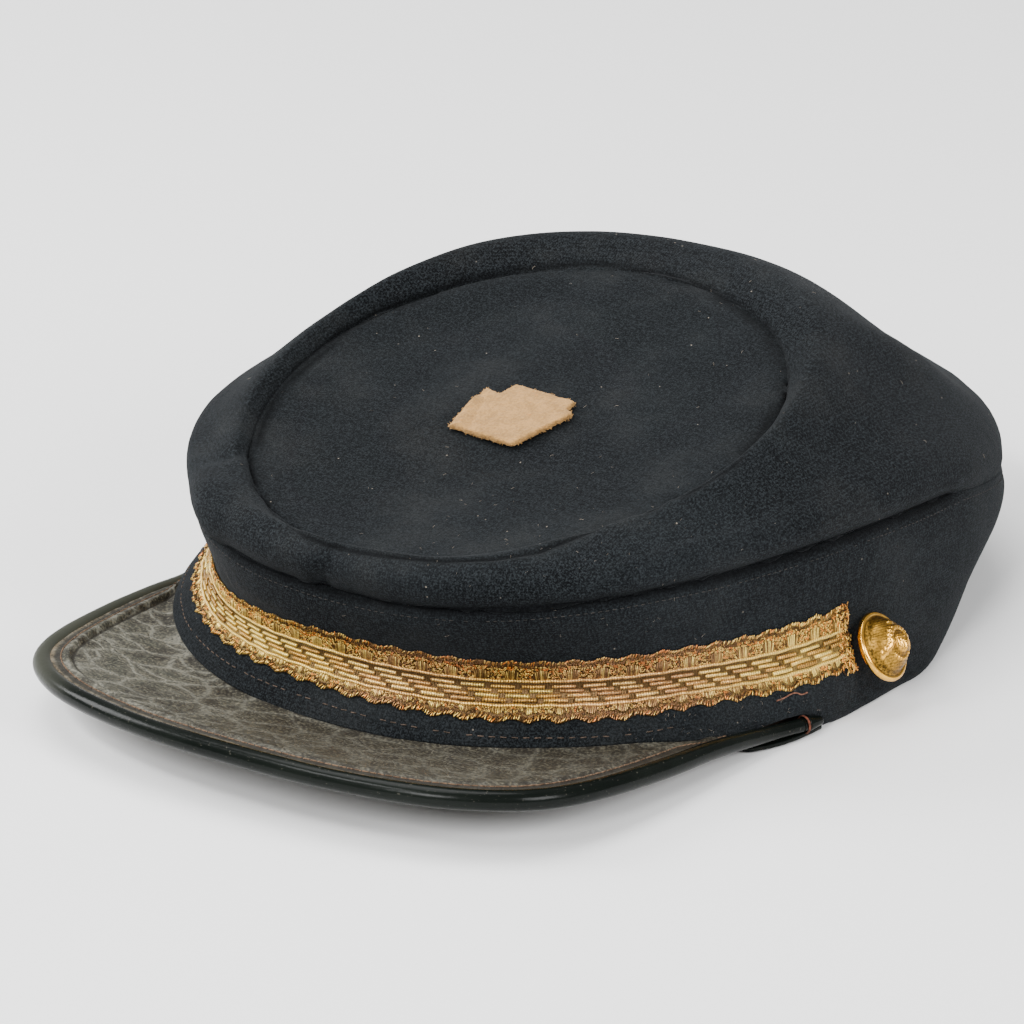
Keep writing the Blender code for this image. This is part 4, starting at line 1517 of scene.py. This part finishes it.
def studio():
    """A pale floor, an even room and the lamps."""
    bpy.ops.object.select_all(action="DESELECT")
    bpy.ops.mesh.primitive_plane_add(size=12.0, location=(0, 0, -0.0002))
    floor = bpy.context.object
    floor.name = "studio_floor"
    paper = Finish("pale_paper", "wool", Roughness=0.9, Specular_IOR_Level=0.1)
    paper.feed(Base_Color=paper.mix(paper.specks(3.0), (0.93, 0.93, 0.93),
                                    (0.95, 0.95, 0.95)))
    floor.data.materials.append(paper.material)
    world = bpy.data.worlds.new("soft_room")
    world.use_nodes = True
    world.node_tree.nodes["Background"].inputs["Color"].default_value = (1, 1, 1, 1)
    world.node_tree.nodes["Background"].inputs["Strength"].default_value = 0.45
    bpy.context.scene.world = world
    for name, (place, width, height, power) in LAMPS.items():
        data = bpy.data.lights.new(name, "AREA")
        data.shape = "RECTANGLE"
        data.size, data.size_y = width, height
        data.energy = power
        lamp = placed(name, data)
        lamp.location = place
        toward = Vector(place) - Vector((0.0, 0.0, 0.03))
        lamp.rotation_euler = toward.to_track_quat("Z", "Y").to_euler()


# ---- the cap -------------------------------------------------------------------------

def dress_cap():
    """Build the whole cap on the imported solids, then the camera's floor and lamps."""
    camera = set_camera()
    side_wool = wool_finish("navy_wool_side", 0.22, 0.5)
    # The top's deeper ground (0.42 against the side's 0.22) is painted shade.
    top_wool = wool_finish("navy_wool_top", 0.22, 0.2, 1.2, 0.42)
    band_wool = wool_finish("navy_wool_band", 0.16, 0.5, 0.8)
    band = cloth_piece("band", "band_cloth", 2, camera, BAND_FOLDS, band_wool, 0.20)
    heights = points_of(band)[:, 2] / MM
    droop_tips(band, np.clip((TIP_HEIGHT - heights) / TIP_FADE[0], 0, 1)
               * np.clip(heights / TIP_FADE[1], 0, 1))
    band_tree = tree_of(band)
    crown = cloth_piece("crown_side", "crown_side_cloth", 2, camera, CROWN_FOLDS,
                        side_wool, 0.35, band_tree)
    disc = cloth_piece("crown_disc", "crown_disc_cloth", 2, camera, DISC_FOLDS,
                       top_wool, 0.40, tree_of(crown))
    crease_cloth(line_under_pixels(camera, DISC_SEAM, crown, disc), *DISC_CREASE,
                 crown, disc)
    close_gap(disc, tree_of(crown), 1.2)
    seam = seam_height(band)
    seam_line = [tuple(round_the_band(band_tree, angle,
                                      seam(angle) - SEAM_CREASE_DROP)[0])
                 for angle in range(360)]
    crease_cloth(seam_line, *BAND_CREASE, crown, band)
    band_tree = tree_of(band)
    sweat = smoothed(merged_copy("sweatband", "sweatband_leather"), 1)
    move_points(sweat, np.maximum(points_of(sweat), (-1.0, -1.0, 0.3 * MM)))
    dressed(shaded(sweat, 40), sweat_finish(), "sweatband")

    patent = patent_finish()
    roll_line = binding_piece(patent)
    roll_tails(roll_line, patent)
    tail_flaps(camera, patent)
    peak = peak_piece(peak_finish(), roll_line, band_tree)
    felt_piece(felt_finish())
    lace_pieces(band_tree)
    gilt = gilt_finish()
    button_piece("button_left", gilt)
    button_piece("button_right", gilt)

    tan = thread_finish("tan_thread", STITCH_TAN, (0.06, 0.035, 0.02))
    hem_stitches(band_tree, thread_finish("brown_thread", STITCH_BROWN,
                                          (0.035, 0.024, 0.016)))
    seam_stitches(band_tree, seam,
                  thread_finish("dull_thread", STITCH_DULL, (0.012, 0.011, 0.010)))
    peak_stitches(tree_of(peak), roll_line, tan)
    rusty = thread_finish("rusty_thread", THREAD_RED, (0.05, 0.02, 0.012))
    tip_whipping(roll_line, rusty)
    loose_thread("loose_thread", camera, band_tree, LOOSE_THREAD, LOOSE_RADIUS,
                 thread_finish("faded_red_thread", (0.22, 0.095, 0.060),
                               (0.09, 0.04, 0.025)))
    fluff = thread_finish("pale_lint", LINT, (0.20, 0.16, 0.12))
    all_wool, top_only = tree_of(crown, disc, band), tree_of(crown, disc)
    for name, (count, window, sizes, kink) in LINT_PATCHES.items():
        wool = top_only if name == "disc_lint" else all_wool
        lint_piece(name, camera, wool, count, window, sizes, fluff, kink)
    studio()


dress_cap()
